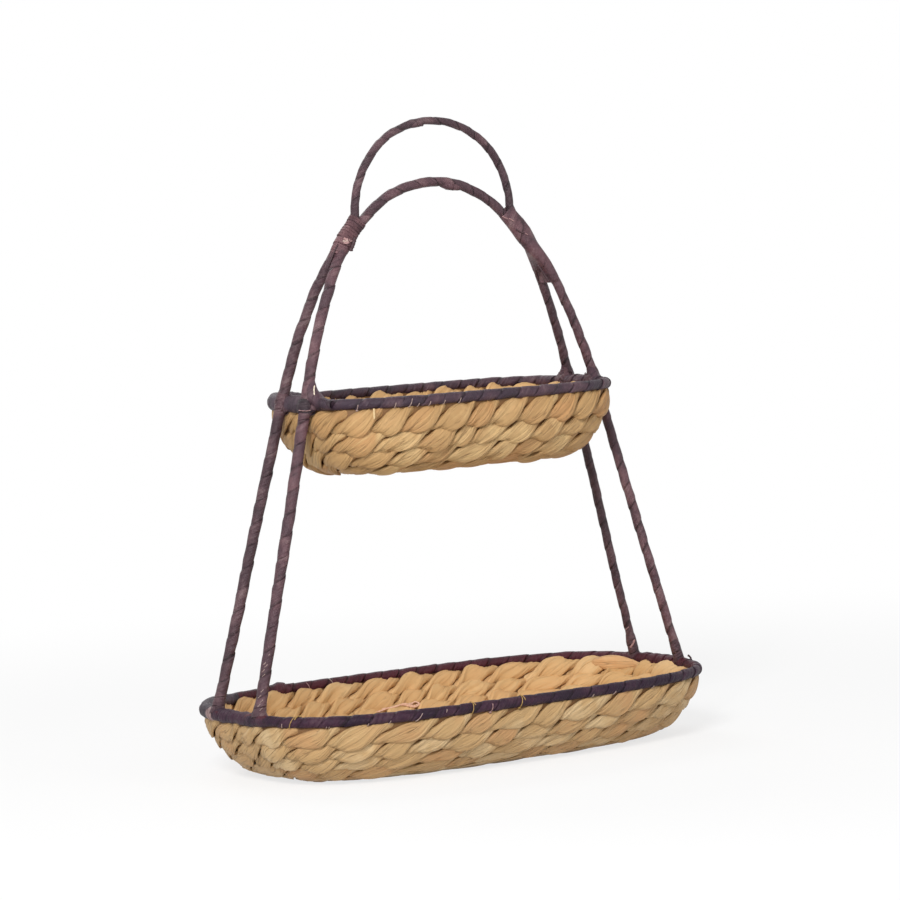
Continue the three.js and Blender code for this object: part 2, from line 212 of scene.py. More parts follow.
class Graph:
    """A node tree under construction, of a material or of Geometry Nodes."""

    def __init__(self, tree: bpy.types.NodeTree) -> None:
        """Start on an empty tree."""
        self.tree = tree
        tree.nodes.clear()

    def node(self, kind: str, settings: Values = None, inputs: Values = None) -> bpy.types.Node:
        """Add a node.

        Args:
            kind: The node's type.
            settings: Its properties, set first.
            inputs: Values or sockets for its inputs, by name or number.

        Returns:
            The node.
        """
        made = self.tree.nodes.new(kind)
        for name, value in (settings or {}).items():
            setattr(made, name, value)
        for key, value in (inputs or {}).items():
            socket = made.inputs[key] if isinstance(key, int) else self._named(made.inputs, key)
            if isinstance(value, Sock):
                self.tree.links.new(value.socket, socket)
            else:
                socket.default_value = value
        return made

    def out(self, kind: str, settings: Values = None, inputs: Values = None, output: int | str = 0) -> Sock:
        """Add a node and give one of its outputs, by name or number."""
        made = self.node(kind, settings, inputs)
        if isinstance(output, str):
            return Sock(self, self._named(made.outputs, output))
        return Sock(self, [s for s in made.outputs if s.enabled][output])

    @staticmethod
    def _named(sockets: Sequence[bpy.types.NodeSocket], name: str) -> bpy.types.NodeSocket:
        """Find a socket by name among those in use."""
        return next(s for s in sockets if s.name == name and s.enabled)

    def maths(self, operation: str, *values: Operand) -> Sock:
        """Give the result of a Math node."""
        return self.out("ShaderNodeMath", {"operation": operation}, dict(enumerate(values)))

    def vectors(self, operation: str, *values: Operand, output: int | str = 0) -> Sock:
        """Give the result of a Vector Math node."""
        return self.out("ShaderNodeVectorMath", {"operation": operation}, dict(enumerate(values)), output)

    def held(self, value: Sock, low: Operand, high: Operand) -> Sock:
        """Keep a value between two others."""
        return self.maths("MINIMUM", self.maths("MAXIMUM", value, low), high)

    def tip(self, run: Sock, left: Sock, slope: float) -> Sock:
        """Give 1 along a form and a slope to 0 at its ends, from how far it has run and has left."""
        return self.maths("MINIMUM", self.maths("MINIMUM", run, left) * slope, 1.0)

    def eased(self, value: Operand, low: float, high: float) -> Sock:
        """Ease from 0 where the value is low to 1 where it is high."""
        inputs = {"Value": value, "From Min": low, "From Max": high}
        return self.out("ShaderNodeMapRange", {"interpolation_type": "SMOOTHSTEP"}, inputs)

    def vector(self, x: Operand, y: Operand, z: Operand) -> Sock:
        """Put three values together as a vector."""
        return self.out("ShaderNodeCombineXYZ", None, {0: x, 1: y, 2: z})

    def parts(self, vector: Operand) -> tuple[Sock, Sock, Sock]:
        """Take a vector apart."""
        made = self.node("ShaderNodeSeparateXYZ", None, {0: vector})
        return tuple(Sock(self, socket) for socket in made.outputs)

    def noise(self, vector: Operand, scale: float, detail: float = 2.0, roughness: float = 0.5) -> Sock:
        """Give smooth random values about 0, from -1 to 1."""
        inputs = {"Vector": vector, "Scale": scale, "Detail": detail, "Roughness": roughness}
        return self.out("ShaderNodeTexNoise", None, inputs) * 2.0 - 1.0

    def grain(self, vector: Operand, scale: float, detail: float = 3.0, roughness: float = 0.6) -> Sock:
        """Give random values about 0 that reach well towards -1 and 1, for colour and bump."""
        return self.noise(vector, scale, detail, roughness) * 2.4

    def chance(self, mark: Sock) -> Sock:
        """Give a random value from 0 to 1, the same wherever the mark is the same."""
        inputs = {"Min": 0.0, "Max": 1.0, "ID": mark}
        return self.out("FunctionNodeRandomValue", {"data_type": "FLOAT"}, inputs)

    def place(self) -> Sock:
        """Give the shaded point in the object's own frame."""
        return self.out("ShaderNodeTexCoord", None, None, "Object")

    def kept(self, name: str) -> Sock:
        """Give a value that the mesh keeps at its points."""
        return self.out("ShaderNodeAttribute", {"attribute_name": name}, None, "Fac")

    def bump(self, height: Operand, strength: float, distance: float) -> Sock:
        """Give the normal of a surface with fine relief."""
        inputs = {"Strength": strength, "Distance": distance, "Height": height}
        return self.out("ShaderNodeBump", None, inputs)

    def surface(self, colour: Operand, rough: Operand, bump: Sock, **others: Any) -> Sock:
        """Give the shader of a surface, whose other inputs have _ for spaces in their names."""
        inputs = {"Base Color": colour, "Roughness": rough, "Normal": bump}
        inputs.update((name.replace("_", " "), value) for name, value in others.items())
        return self.out("ShaderNodeBsdfPrincipled", None, inputs)

    def blend(self, first: Sock | Colour, second: Sock | Colour, share: Operand) -> Sock:
        """Mix two colours by a share."""
        return self.out("ShaderNodeMix", {"data_type": "RGBA"}, {"Factor": share, "A": first, "B": second})


# Finishes


class Slot(Enum):
    """The record's material slots of the pieces that are built here."""

    LEAF = "dyed_leaf_tape"
    LOWER_BRAID = "lower_basket_braid"
    UPPER_BRAID = "upper_basket_braid"


class Finish:
    """A finish that fills a material once and keeps it."""

    name: str

    def material(self) -> bpy.types.Material:
        """Give the finish's material, made on first use.

        Returns:
            The material.
        """
        made = bpy.data.materials.get(self.name)
        if made is None:
            made = bpy.data.materials.new(self.name)
            made.use_nodes = True
            graph = Graph(made.node_tree)
            shader = self.shader(graph)
            graph.node("ShaderNodeOutputMaterial", None, {"Surface": shader})
        return made

    def shader(self, graph: Graph) -> Sock:
        """Build the finish's nodes and give its shader."""
        raise NotImplementedError


@dataclass(frozen=True)
class LeafTapeFinish(Finish):
    """Dyed leaf, wound as tape: dark, fibrous along its length, pale where its edge is scuffed."""

    name: str
    dye: Colour
    warm_dye: Colour
    worn: Colour = paint(158, 138, 136)
    # The colour of dark fibres and blotches, and of the painted shadow along each turn's overlap.
    deep: Colour = paint(26, 17, 20)
    scuff: float = 0.7
    roughness: float = 0.48
    sheen: float = 0.3
    fibre_scale: float = 7.0
    fade: float = 0.36
    # How dark the painted shadow is where the next turn's edge lies over a turn.
    seam_shadow: float = 0.45
    inner: Colour | None = None

    def shader(self, graph: Graph) -> Sock:
        """Build the finish's nodes and give its shader.

        Args:
            graph: The material's node tree.

        Returns:
            The shader.
        """
        place = graph.place()
        along, across, _ = graph.parts(graph.out("ShaderNodeUVMap", {"uv_map": "strip"}))
        tone, edge = graph.kept("tone"), graph.kept("edge")
        fibre = graph.grain(graph.vector(along * 60.0, across * self.fibre_scale, tone * 5.0), 1.0)
        blotch = graph.grain(place, 60.0)
        dust = graph.grain(place, 480.0, 4.0, 0.7)
        wear = graph.grain(place * (1.0, 1.0, 0.3), 130.0, 3.0, 0.7)
        warmth = graph.eased(blotch * 0.45 + tone * 0.8, 0.0, 1.0)
        colour = graph.blend(self.dye, self.warm_dye, warmth)
        if self.inner:
            colour = graph.blend(colour, self.inner, graph.kept("inside") * 0.8)
        light = graph.eased(fibre * 0.5 + blotch * 0.6 + tone * 0.4, 0.2, 1.6) * self.fade
        colour = graph.blend(colour, self.worn, light)
        shade = graph.eased(fibre * -0.7 - blotch * 0.5, 0.1, 1.1) * 0.5
        colour = graph.blend(colour, self.deep, shade)
        # Painted shadow: each turn darkens towards the deep colour along the band where the next turn's edge
        # lies over it.
        colour = graph.blend(colour, self.deep, graph.eased(across, 0.66, 0.75) * self.seam_shadow)
        scuffs = graph.eased(edge * 0.5 + dust * 0.45 + wear * 0.55, 0.85, 1.35) * self.scuff
        colour = graph.blend(colour, self.worn, scuffs)
        height = fibre * 0.5 + dust * 0.22 + blotch * 0.4
        rough = self.roughness + fibre * 0.06 + scuffs * 0.25
        bump = graph.bump(height, 0.75, 0.001)
        return graph.surface(colour, rough, bump, Specular_IOR_Level=self.sheen)


@dataclass(frozen=True)
class BraidFinish(Finish):
    """Dried straw in flat folded strands, each lobe a little different in colour."""

    name: str
    straw: Colour
    ruddy: Colour
    pale: Colour
    # The colour of dark fibre lines and cracks, and of the painted shade in the crevices between lobes.
    dark_line_and_shade: Colour = paint(96, 64, 34)
    # The paler, warmer straw of the painted light on the basket's inner faces.
    inside_light: Colour = paint(230, 186, 130)
    roughness: float = 0.6

    def shader(self, graph: Graph) -> Sock:
        """Build the finish's nodes and give its shader.

        Args:
            graph: The material's node tree.

        Returns:
            The shader.
        """
        place = graph.place()
        along, across, _ = graph.parts(graph.out("ShaderNodeUVMap", {"uv_map": "strand"}))
        tone, crease, inside = (graph.kept(name) for name in ("tone", "crease", "inside"))
        coarse = graph.grain(graph.vector(along * 20.0, across * 9.0, 0.0), 1.0, 2.0, 0.5)
        fibre = graph.grain(graph.vector(along * 26.0, across * 28.0, 0.0), 1.0, 4.0, 0.65)
        cracks = graph.noise(graph.vector(along * 15.0, across * 8.0, 3.0), 1.0, 2.0, 0.5)
        blotch = graph.grain(place, 46.0, 3.0, 0.6)
        colour = graph.blend(self.straw, self.ruddy, graph.eased(tone + blotch * 0.3, 0.55, 1.2))
        colour = graph.blend(colour, self.pale, graph.eased(blotch * 0.35 - tone, -0.45, 0.1) * 0.8)
        colour = graph.blend(colour, self.ruddy, graph.eased(blotch + coarse * 0.4, 0.3, 1.3) * 0.5)
        # Painted light on the inner faces: paler, warmer straw, and below, weaker fibre lines, cracks and
        # crevice shade there.
        colour = graph.blend(colour, self.inside_light, inside * 0.5)
        lines = graph.eased(fibre * -1.0 - coarse * 0.45, 0.35, 1.3)
        colour = graph.blend(colour, self.dark_line_and_shade, lines * (0.46 - inside * 0.24))
        split = graph.maths("ABSOLUTE", cracks) * -1.0 - graph.maths("ABSOLUTE", blotch) * 0.04
        crack = graph.eased(split, -0.05, 0.0)
        colour = graph.blend(colour, self.dark_line_and_shade, crack * (0.42 - inside * 0.2))
        gleam = graph.eased(fibre + coarse * 0.6, 0.3, 1.4)
        colour = graph.blend(colour, self.pale, gleam * 0.5)
        # Painted shade in the crevices between lobes, where the strand turns edge-on into the wall; a little
        # weaker on the inner faces.
        deep = graph.eased(crease + fibre * 0.08, 0.5, 0.95)
        colour = graph.blend(colour, self.dark_line_and_shade, deep * (0.8 - inside * 0.1))
        height = (fibre * 0.3 + coarse * 0.7 - crack * 0.6) * (1.0 - inside * 0.5)
        bump = graph.bump(height, 0.7, 0.0011)
        return graph.surface(colour, self.roughness + fibre * 0.07, bump, Specular_IOR_Level=0.3)


@dataclass(frozen=True)
class ThreadFinish(Finish):
    """Pale twisted sewing thread."""

    name: str
    colour: Colour
    dark: Colour

    def shader(self, graph: Graph) -> Sock:
        """Build the finish's nodes and give its shader."""
        speck = graph.noise(graph.place(), 900.0, 3.0, 0.6)
        colour = graph.blend(self.colour, self.dark, graph.eased(speck, 0.0, 1.0))
        return graph.surface(colour, 0.6, graph.bump(speck, 0.5, 0.0002))


@dataclass(frozen=True)
class WireFinish(Finish):
    """Drawn steel wire, as it shows at a cut end."""

    name: str = "drawn_steel_wire"

    def shader(self, graph: Graph) -> Sock:
        """Build the finish's nodes and give its shader."""
        grain = graph.noise(graph.place(), 700.0, 3.0, 0.6)
        colour = graph.blend(paint(88, 86, 86), paint(126, 122, 118), graph.eased(grain, -0.6, 0.8))
        return graph.surface(colour, 0.38 + grain * 0.1, graph.bump(grain, 0.3, 0.0001), Metallic=0.9)


HOOP_TAPE = LeafTapeFinish("leaf_tape_rear_hoop", paint(64, 46, 52), paint(84, 59, 65))
FRONT_TAPE = LeafTapeFinish("leaf_tape_front_hoop", paint(72, 51, 58), paint(98, 68, 74), scuff=1.0)
LOWER_RIM_TAPE = LeafTapeFinish(
    "leaf_tape_lower_rim", paint(38, 21, 38), paint(58, 31, 48), scuff=0.3, sheen=0.2, fade=0.12,
    inner=paint(80, 36, 44),
)
UPPER_RIM_TAPE = LeafTapeFinish(
    "leaf_tape_upper_rim", paint(54, 39, 51), paint(76, 52, 62), scuff=0.45, fade=0.25
)
SHEATH_TAPE = LeafTapeFinish(
    "leaf_tape_shoulders", paint(82, 58, 64), paint(116, 82, 86), scuff=0.8, seam_shadow=0.3
)
# Tape of the left front knot; its dark colour is partly painted shade of the shadowed wraps round the
# crossing.
KNOT_AND_SHADE_TAPE = LeafTapeFinish("leaf_tape_knots", paint(36, 27, 34), paint(54, 40, 47), scuff=0.5, fade=0.2)
TIE_TAPE = LeafTapeFinish("leaf_tape_ties", paint(60, 42, 50), paint(86, 60, 66), scuff=0.8)
WORN_TAPE = LeafTapeFinish(
    "leaf_tape_rim_ends", paint(46, 36, 46), paint(70, 54, 64), paint(136, 122, 128), seam_shadow=0.8
)
PINK_TAPE = LeafTapeFinish(
    "leaf_tape_faded", paint(124, 100, 102), paint(158, 130, 128), paint(206, 186, 178), scuff=1.0
)
LOWER_STRAW = BraidFinish(
    "straw_lower_basket", paint(184, 150, 104), paint(184, 142, 97), paint(208, 182, 140)
)
PROUD_STRAW = BraidFinish(
    "straw_proud_strand", paint(212, 162, 112), paint(200, 148, 100), paint(224, 182, 132)
)
UPPER_STRAW = BraidFinish(
    "straw_upper_basket", paint(180, 143, 96), paint(182, 137, 90), paint(206, 174, 124)
)
BACKING = BraidFinish("straw_spokes", paint(116, 82, 48), paint(104, 70, 40), paint(130, 96, 60))
PALE_THREAD = ThreadFinish("thread_pale", paint(166, 142, 134), paint(112, 90, 88))
BRIGHT_THREAD = ThreadFinish("thread_bright", paint(226, 212, 190), paint(190, 160, 130))
GOLD_THREAD = ThreadFinish("thread_gold", paint(170, 136, 76), paint(124, 92, 52))
PINK_STRAW = ThreadFinish("straw_faded_pink", paint(222, 180, 156), paint(186, 136, 108))
LOOSE_STRAW = ThreadFinish("straw_loose", paint(214, 188, 142), paint(176, 140, 92))
FADED_FOLD = ThreadFinish("leaf_tape_faded_folds", paint(160, 124, 122), paint(100, 68, 72))
# Dark leaf for the curled tag at the right front foot; its dark strips on the shoulders are painted shadow in
# slits and gaps of the tape.
DARK_LEAF_AND_SHADOW = ThreadFinish("leaf_tape_dark_folds", paint(56, 31, 37), paint(32, 18, 22))
STEEL = WireFinish()


# Paths and the forms that follow them


@dataclass
class Track:
    """A path, with what its form needs to know at each point.

    Attributes:
        points: The places, one a row.
        across: A direction square to the path: for braid, out of the basket's wall.
        closed: Whether the last point joins the first.
        spread: How far a section reaches beyond its own radius along across, each way.
        girth: The radius of what is wound.
    """

    points: np.ndarray
    across: np.ndarray
    closed: bool
    spread: np.ndarray
    girth: np.ndarray

    @property
    def length(self) -> float:
        """Give the path's length."""
        ring = np.vstack([self.points, self.points[:1]]) if self.closed else self.points
        return float(run_along(ring)[-1])

    def evened(self, step: float) -> "Track":
        """Space the points evenly, about a step apart.

        Args:
            step: The distance wanted.

        Returns:
            The new track.
        """
        table = np.column_stack([self.points, self.across, self.spread, self.girth])
        if self.closed:
            table = np.vstack([table, table[:1]])
        runs = run_along(table[:, :3])
        count = max(int(round(runs[-1] / step)), 2)
        wanted = np.linspace(0, runs[-1], count + 1)[: count if self.closed else count + 1]
        even = np.column_stack([np.interp(wanted, runs, column) for column in table.T])
        return Track(even[:, :3], unit(even[:, 3:6]), self.closed, even[:, 6], even[:, 7])

    def carrier(self, name: str) -> Piece:
        """Make the object that carries the path into a Geometry Nodes tree.

        Args:
            name: The object's name.

        Returns:
            The object, of edges that keep the track's values.
        """
        count = len(self.points)
        edges = [(i, (i + 1) % count) for i in range(count if self.closed else count - 1)]
        mesh = bpy.data.meshes.new(name)
        mesh.from_pydata(self.points.tolist(), edges, [])
        across = mesh.attributes.new("across", "FLOAT_VECTOR", "POINT")
        across.data.foreach_set("vector", self.across.astype(np.float32).ravel())
        for title in ("spread", "girth"):
            values = getattr(self, title).astype(np.float32)
            mesh.attributes.new(title, "FLOAT", "POINT").data.foreach_set("value", values)
        return placed(name, mesh)


def ramped(values: Sequence[float], count: int) -> np.ndarray:
    """Lay values evenly along a count of points, with even slopes between them."""
    return np.interp(np.linspace(0, 1, count), np.linspace(0, 1, len(values)), values)


def strung(
    points: np.ndarray,
    across: Sequence[float] | np.ndarray,
    girths: Sequence[float] = (0.0,),
    spreads: Sequence[float] = (0.0,),
    closed: bool = False,
) -> Track:
    """Give a track from a few radii and spreads.

    Args:
        points: The places, one a row.
        across: The direction square to the path, one for all points or one for each.
        girths, spreads: Radii and spreads, evenly apart along the path.
        closed: Whether the last point joins the first.

    Returns:
        The track.
    """
    count = len(points)
    sideways = np.broadcast_to(across, (count, 3))
    return Track(points, sideways, closed, ramped(spreads, count), ramped(girths, count))


@dataclass(frozen=True)
class Station:
    """A place along a path inside a Geometry Nodes tree, with its three directions."""

    place: Sock
    along: Sock
    across: Sock
    third: Sock


class Form:
    """A form that Geometry Nodes makes along a path. A subclass names its inputs, which are numbers,
    and its shape."""

    title: str
    inputs: tuple[str, ...]

    def __init__(self) -> None:
        """Build the tree, with its inputs, its grid and its end."""
        self.tree = bpy.data.node_groups.new(self.title, "GeometryNodeTree")
        interface = self.tree.interface
        interface.new_socket("Form", in_out="OUTPUT", socket_type="NodeSocketGeometry")
        grid = (("Path", "Geometry"), ("Columns", "Int"), ("Sides", "Int"))
        shared = (*grid, ("Seed", "Float"), ("Finish", "Material"))
        self.sockets = {
            name: interface.new_socket(name, in_out="INPUT", socket_type=f"NodeSocket{kind}")
            for name, kind in (*shared, *((title, "Float") for title in self.inputs))
        }
        self.graph = Graph(self.tree)
        entry = self.graph.node("NodeGroupInput")
        self.given = {s.name: Sock(self.graph, s) for s in entry.outputs if s.name}
        self.curve = self.graph.out("GeometryNodeMeshToCurve", None, {"Mesh": self.given["Path"]})
        self.whole = self.graph.out("GeometryNodeCurveLength", None, {"Curve": self.curve})
        counts = {"Vertices X": self.given["Columns"], "Vertices Y": self.given["Sides"]}
        mesh = self.graph.out("GeometryNodeMeshGrid", None, {"Size X": 1.0, "Size Y": 1.0, **counts})
        x, y, _ = self.graph.parts(self.graph.out("GeometryNodeInputPosition"))
        place, kept = self.shape(x + 0.5, y + 0.5)
        for name, value in kept.items():
            mesh = self._keep(mesh, name, value)
        steps = (
            ("SetPosition", {"Position": place}),
            ("MergeByDistance", {"Distance": MERGED}),
            ("SetShadeSmooth", {"Shade Smooth": True}),
            ("RealizeInstances", {}),
            ("SetMaterial", {"Material": self.given["Finish"]}),
        )
        for kind, inputs in steps:
            mesh = self.graph.out(f"GeometryNode{kind}", None, {"Geometry": mesh, **inputs})
        self.graph.node("NodeGroupOutput", None, {"Form": mesh})

    def _keep(self, mesh: Sock, name: str, value: Sock) -> Sock:
        """Store a value on the mesh, a vector as a UV map and a number at each point."""
        kind, domain = ("FLOAT2", "CORNER") if value.is_vector else ("FLOAT", "POINT")
        settings = {"data_type": kind, "domain": domain}
        inputs = {"Geometry": mesh, "Name": name, "Value": value}
        return self.graph.out("GeometryNodeStoreNamedAttribute", settings, inputs)

    def sample(self, run: Sock, name: str, kind: str) -> bpy.types.Node:
        """Sample the path and one of its attributes at a distance along it."""
        value = self.graph.out("GeometryNodeInputNamedAttribute", {"data_type": kind}, {"Name": name})
        settings = {"mode": "LENGTH", "data_type": kind, "use_all_curves": True}
        inputs = {"Curves": self.curve, "Value": value, "Length": run}
        return self.graph.node("GeometryNodeSampleCurve", settings, inputs)

    def value_at(self, run: Sock, name: str) -> Sock:
        """Give one of the path's numbers at a distance along it."""
        return Sock(self.graph, self.sample(run, name, "FLOAT").outputs["Value"])

    def station(self, run: Sock) -> Station:
        """Give the place and directions at a distance along the path.

        Args:
            run: The distance.

        Returns:
            The place and its directions.
        """
        found = self.sample(run, "across", "FLOAT_VECTOR")
        place, along, across = (Sock(self.graph, found.outputs[n]) for n in ("Position", "Tangent", "Value"))
        overlap = self.graph.vectors("DOT_PRODUCT", across, along, output="Value")
        square = self.graph.vectors("NORMALIZE", across - along * overlap)
        return Station(place, along, square, self.graph.vectors("CROSS_PRODUCT", along, square))

    def shape(self, share: Sock, turn: Sock) -> tuple[Sock, dict[str, Sock]]:
        """Give the place of each point of the grid, and the values to keep on the mesh.

        Args:
            share: How far along the form the point is, from 0 to 1.
            turn: How far round its section the point is, from 0 to 1.

        Returns:
            The place, and the values by name.
        """
        raise NotImplementedError

    def make(self, name: str, track: Track, values: Mapping[str, Any]) -> Piece:
        """Make the form along a track, as a plain mesh.

        Args:
            name: The piece's name.
            track: The path.
            values: The tree's inputs, by name.

        Returns:
            The object, closed and facing outwards.
        """
        carrier = track.carrier(f"{name}_path")
        modifier = carrier.modifiers.new(self.title, "NODES")
        modifier.node_group = self.tree
        for title, value in values.items():
            modifier[self.sockets[title].identifier] = value
        depsgraph = bpy.context.evaluated_depsgraph_get()
        evaluated = carrier.evaluated_get(depsgraph)
        mesh = bpy.data.meshes.new_from_object(evaluated, preserve_all_data_layers=True, depsgraph=depsgraph)
        bpy.data.objects.remove(carrier)
        mesh.name = name
        if signed_volume(mesh) < 0:
            mesh.flip_normals()
        return placed(name, mesh)


def placed(name: str, data: bpy.types.ID) -> Piece:
    """Put an object with that data in the scene."""
    made = bpy.data.objects.new(name, data)
    bpy.context.scene.collection.objects.link(made)
    return made


def signed_volume(mesh: bpy.types.Mesh) -> float:
    """Measure a closed mesh's volume, which is negative if it is inside out.

    Args:
        mesh: The mesh.

    Returns:
        The volume.
    """
    mesh.calc_loop_triangles()
    corners = np.empty(len(mesh.loop_triangles) * 3, np.int32)
    mesh.loop_triangles.foreach_get("vertices", corners)
    places = np.empty(len(mesh.vertices) * 3, np.float32)
    mesh.vertices.foreach_get("co", places)
    a, b, c = places.reshape(-1, 3)[corners].reshape(-1, 3, 3).astype(float).transpose(1, 0, 2)
    return float(np.einsum("ij,ij->i", a, np.cross(b, c)).sum() / 6)


TAPE_SHAPE = ("Hand", "Breadth", "Thickness", "Play", "Crumple")


class WoundTape(Form):
    """A flat strip wound round a path, each turn's edge lying on the turn before."""

    title = "wound_tape"
    inputs = ("Turns", *TAPE_SHAPE)

    def shape(self, share: Sock, turn: Sock) -> tuple[Sock, dict[str, Sock]]:
        """Give the strip's points, and its UV, edge and tone.

        Args:
            share, turn: The same as for Form.

        Returns:
            The place, and the values by name.
        """
        graph, given = self.graph, self.given
        wound = share * given["Turns"]
        tip = graph.tip(wound, (1.0 - share) * given["Turns"], 10.0)
        section = turn * TAU
        width = graph.maths("COSINE", section) * -0.5 * tip
        bulge = graph.maths("SINE", section)
        blunt = graph.maths("SIGN", bulge) * graph.maths("ABSOLUTE", bulge) ** 0.6
        drift = graph.noise(graph.vector(wound * 0.45, given["Seed"], 0.0), 1.0, 1.0) * given["Play"]
        run = share * self.whole + width * given["Breadth"] + drift
        run = graph.held(run, 0.0, self.whole)
        at = self.station(run)
        angle = wound * given["Hand"] * TAU
        near, far = graph.maths("COSINE", angle), graph.maths("SINE", angle)
        way = at.across * near + at.third * far
        stretch = graph.held(near * 2.5, -1.0, 1.0) * self.value_at(run, "spread")
        radius = self.value_at(run, "girth") + given["Thickness"] * (1.0 - width + blunt * tip * 0.5)
        surface = at.place + way * radius
        lumps = graph.noise(surface + graph.vector(given["Seed"], 0.0, 0.0), 95.0, 2.0)
        folds = graph.noise(graph.vector(wound * 1.7, width * 2.2, given["Seed"]), 1.0, 2.0)
        radius = radius + (lumps * 0.6 + folds * 0.6) * given["Crumple"]
        place = at.place + at.across * stretch + way * radius
        tone = graph.chance(graph.maths("FLOOR", wound + width))
        strip = graph.vector(wound * TAU * 0.004, width + 0.5, 0.0)
        edge = graph.eased(width * -1.0, 0.3, 0.5)
        inside = graph.eased(far * -1.0, -0.1, 0.6)
        return place, {"strip": strip, "edge": edge, "tone": tone, "inside": inside}


@dataclass(frozen=True)
class Winding:
    """How tape is wound.

    Attributes:
        lay: How far along the wire each turn goes.
        breadth: The tape's width along the wire.
        thickness: The tape's thickness.
        hand: 1 for a winding that turns like a screw, -1 for its mirror.
        play: How far a turn may stray along the wire.
        crumple: How far the surface swells and sinks.
        steps: Points in each turn.
        sides: Points round the strip's section.
    """

    lay: float = 0.0165
    breadth: float = 0.022
    thickness: float = 0.0007
    hand: float = 1.0
    play: float = 0.005
    crumple: float = 0.0009
    steps: int = 26
    sides: int = 11

    def wind(self, form: WoundTape, name: str, track: Track, finish: Finish, seed: float) -> Piece:
        """Wind tape along a track and give it as a piece.

        Args:
            form: The Geometry Nodes form of wound tape.
            name: The piece's name.
            track: What the tape is wound round.
            finish: The tape's finish.
            seed: What sets this winding apart.

        Returns:
            The winding.
        """
        turns = track.length / self.lay
        values = {
            "Columns": int(turns * self.steps) + 1,
            "Sides": self.sides,
            "Seed": seed,
            "Finish": finish.material(),
            "Turns": turns,
            **{title: getattr(self, title.lower()) for title in TAPE_SHAPE},
        }
        return form.make(name, track, values)


BRAID_SHAPE = ("Edge", "Pinch", "Dwell", "Tuck", "Lean", "Uneven", "Wrinkle", "Flatness")


class TwistedStrand(Form):
    """One strand of a twisted row: half of the row's flattened section, turning round its middle
    line, so that it shows as a slanted lobe and then passes behind the other strand."""

    title = "twisted_strand"
    inputs = ("Turns", "Phase", "Reach Out", "Reach Up", "Open", *BRAID_SHAPE)

    def shape(self, share: Sock, turn: Sock) -> tuple[Sock, dict[str, Sock]]:
        """Give the strand's points, and its UV, the crease mask of the painted shade between lobes, and its
        tone.

        Args:
            share, turn: The same as for Form.

        Returns:
            The place, and the values by name.
        """
        graph, given = self.graph, self.given
        run = share * self.whole
        at = self.station(run)
        up = graph.vectors("CROSS_PRODUCT", at.across, at.along)
        seed = graph.vector(given["Seed"], given["Seed"] * 0.7, 0.0)
        uneven = given["Uneven"]
        stray = graph.noise(at.place + seed * 3.1, 14.0, 1.0) * uneven
        twist = share * given["Turns"] + given["Phase"] + stray * 0.36
        angle = twist * TAU - graph.maths("SINE", twist * (2 * TAU)) * (given["Dwell"] * 0.5)
        near, far = graph.maths("COSINE", angle), graph.maths("SINE", angle)
        lobe = graph.maths("FLOOR", twist * 2.0 + 0.5)
        gone = twist * 2.0 + 0.5 - lobe
        full = self.chance(lobe, 7000.0)
        first, second = self.chance(lobe, 0.0), self.chance(lobe + 1.0, 0.0)
        tone = first + (second - first) * graph.eased(gone, 0.8, 1.0)
        tip = 1.0 - given["Open"] * (1.0 - graph.tip(share, 1.0 - share, 30.0))
        pinched = 1.0 - given["Pinch"] * far * far
        size = (pinched + (full - 0.5) * uneven * 0.4 * graph.maths("ABSOLUTE", near)) * tip
        section = turn * TAU
        wide = graph.maths("COSINE", section) * -0.94 - given["Tuck"]
        high = graph.maths("SINE", section)
        outer = graph.maths("MAXIMUM", high, 0.0) ** 0.9 * (1.0 - given["Edge"])
        inner = graph.maths("MINIMUM", high, 0.0) * (given["Edge"] - 0.02)
        folds = graph.noise(graph.vector(run * 16.0, wide * 3.4, given["Phase"] * 9.0) + seed, 1.0, 1.0)
        ridges = graph.noise(graph.vector(run * 26.0, wide * 8.5, given["Phase"] * 5.0) + seed, 1.0, 2.0)
        swell = (folds * 1.3 + ridges * 0.8) * given["Wrinkle"] * graph.maths("MAXIMUM", high, 0.0)
        deep = (given["Edge"] + outer + inner + swell) * size
        broad = (wide + folds * 0.12) * size
        out = (deep * near - broad * far) * given["Reach Out"]
        rise = (deep * far + broad * near) * given["Reach Up"]
        proud = graph.maths("MAXIMUM", out - given["Reach Out"] * 0.55, 0.0)
        out = out - proud * given["Flatness"] - rise * given["Lean"]
        place = at.place + at.across * out + up * rise
        # Where the strand turns edge-on into the wall: the mask of the painted shade in the crevices between
        # lobes.
        crease = graph.eased(graph.maths("ABSOLUTE", out) / given["Reach Out"] * -1.0, -0.5, 0.0)
        # How far the point faces into the basket: the mask of the painted light on the inner faces.
        inside = graph.eased(out / given["Reach Out"] * -1.0, 0.0, 0.4)
        strand = graph.vector(run + given["Phase"], turn, 0.0)
        return place, {"strand": strand, "crease": crease, "tone": tone, "inside": inside}

    def chance(self, lobe: Sock, offset: float) -> Sock:
        """Give a random value from 0 to 1 for each lobe, which is the same where a closed row joins."""
        turns = self.given["Turns"] * 2.0
        mark = self.graph.maths("FLOORED_MODULO", lobe, turns)
        mark = mark + self.given["Seed"] * 100.0 + self.given["Phase"] * 1000.0
        return self.graph.chance(mark + offset)


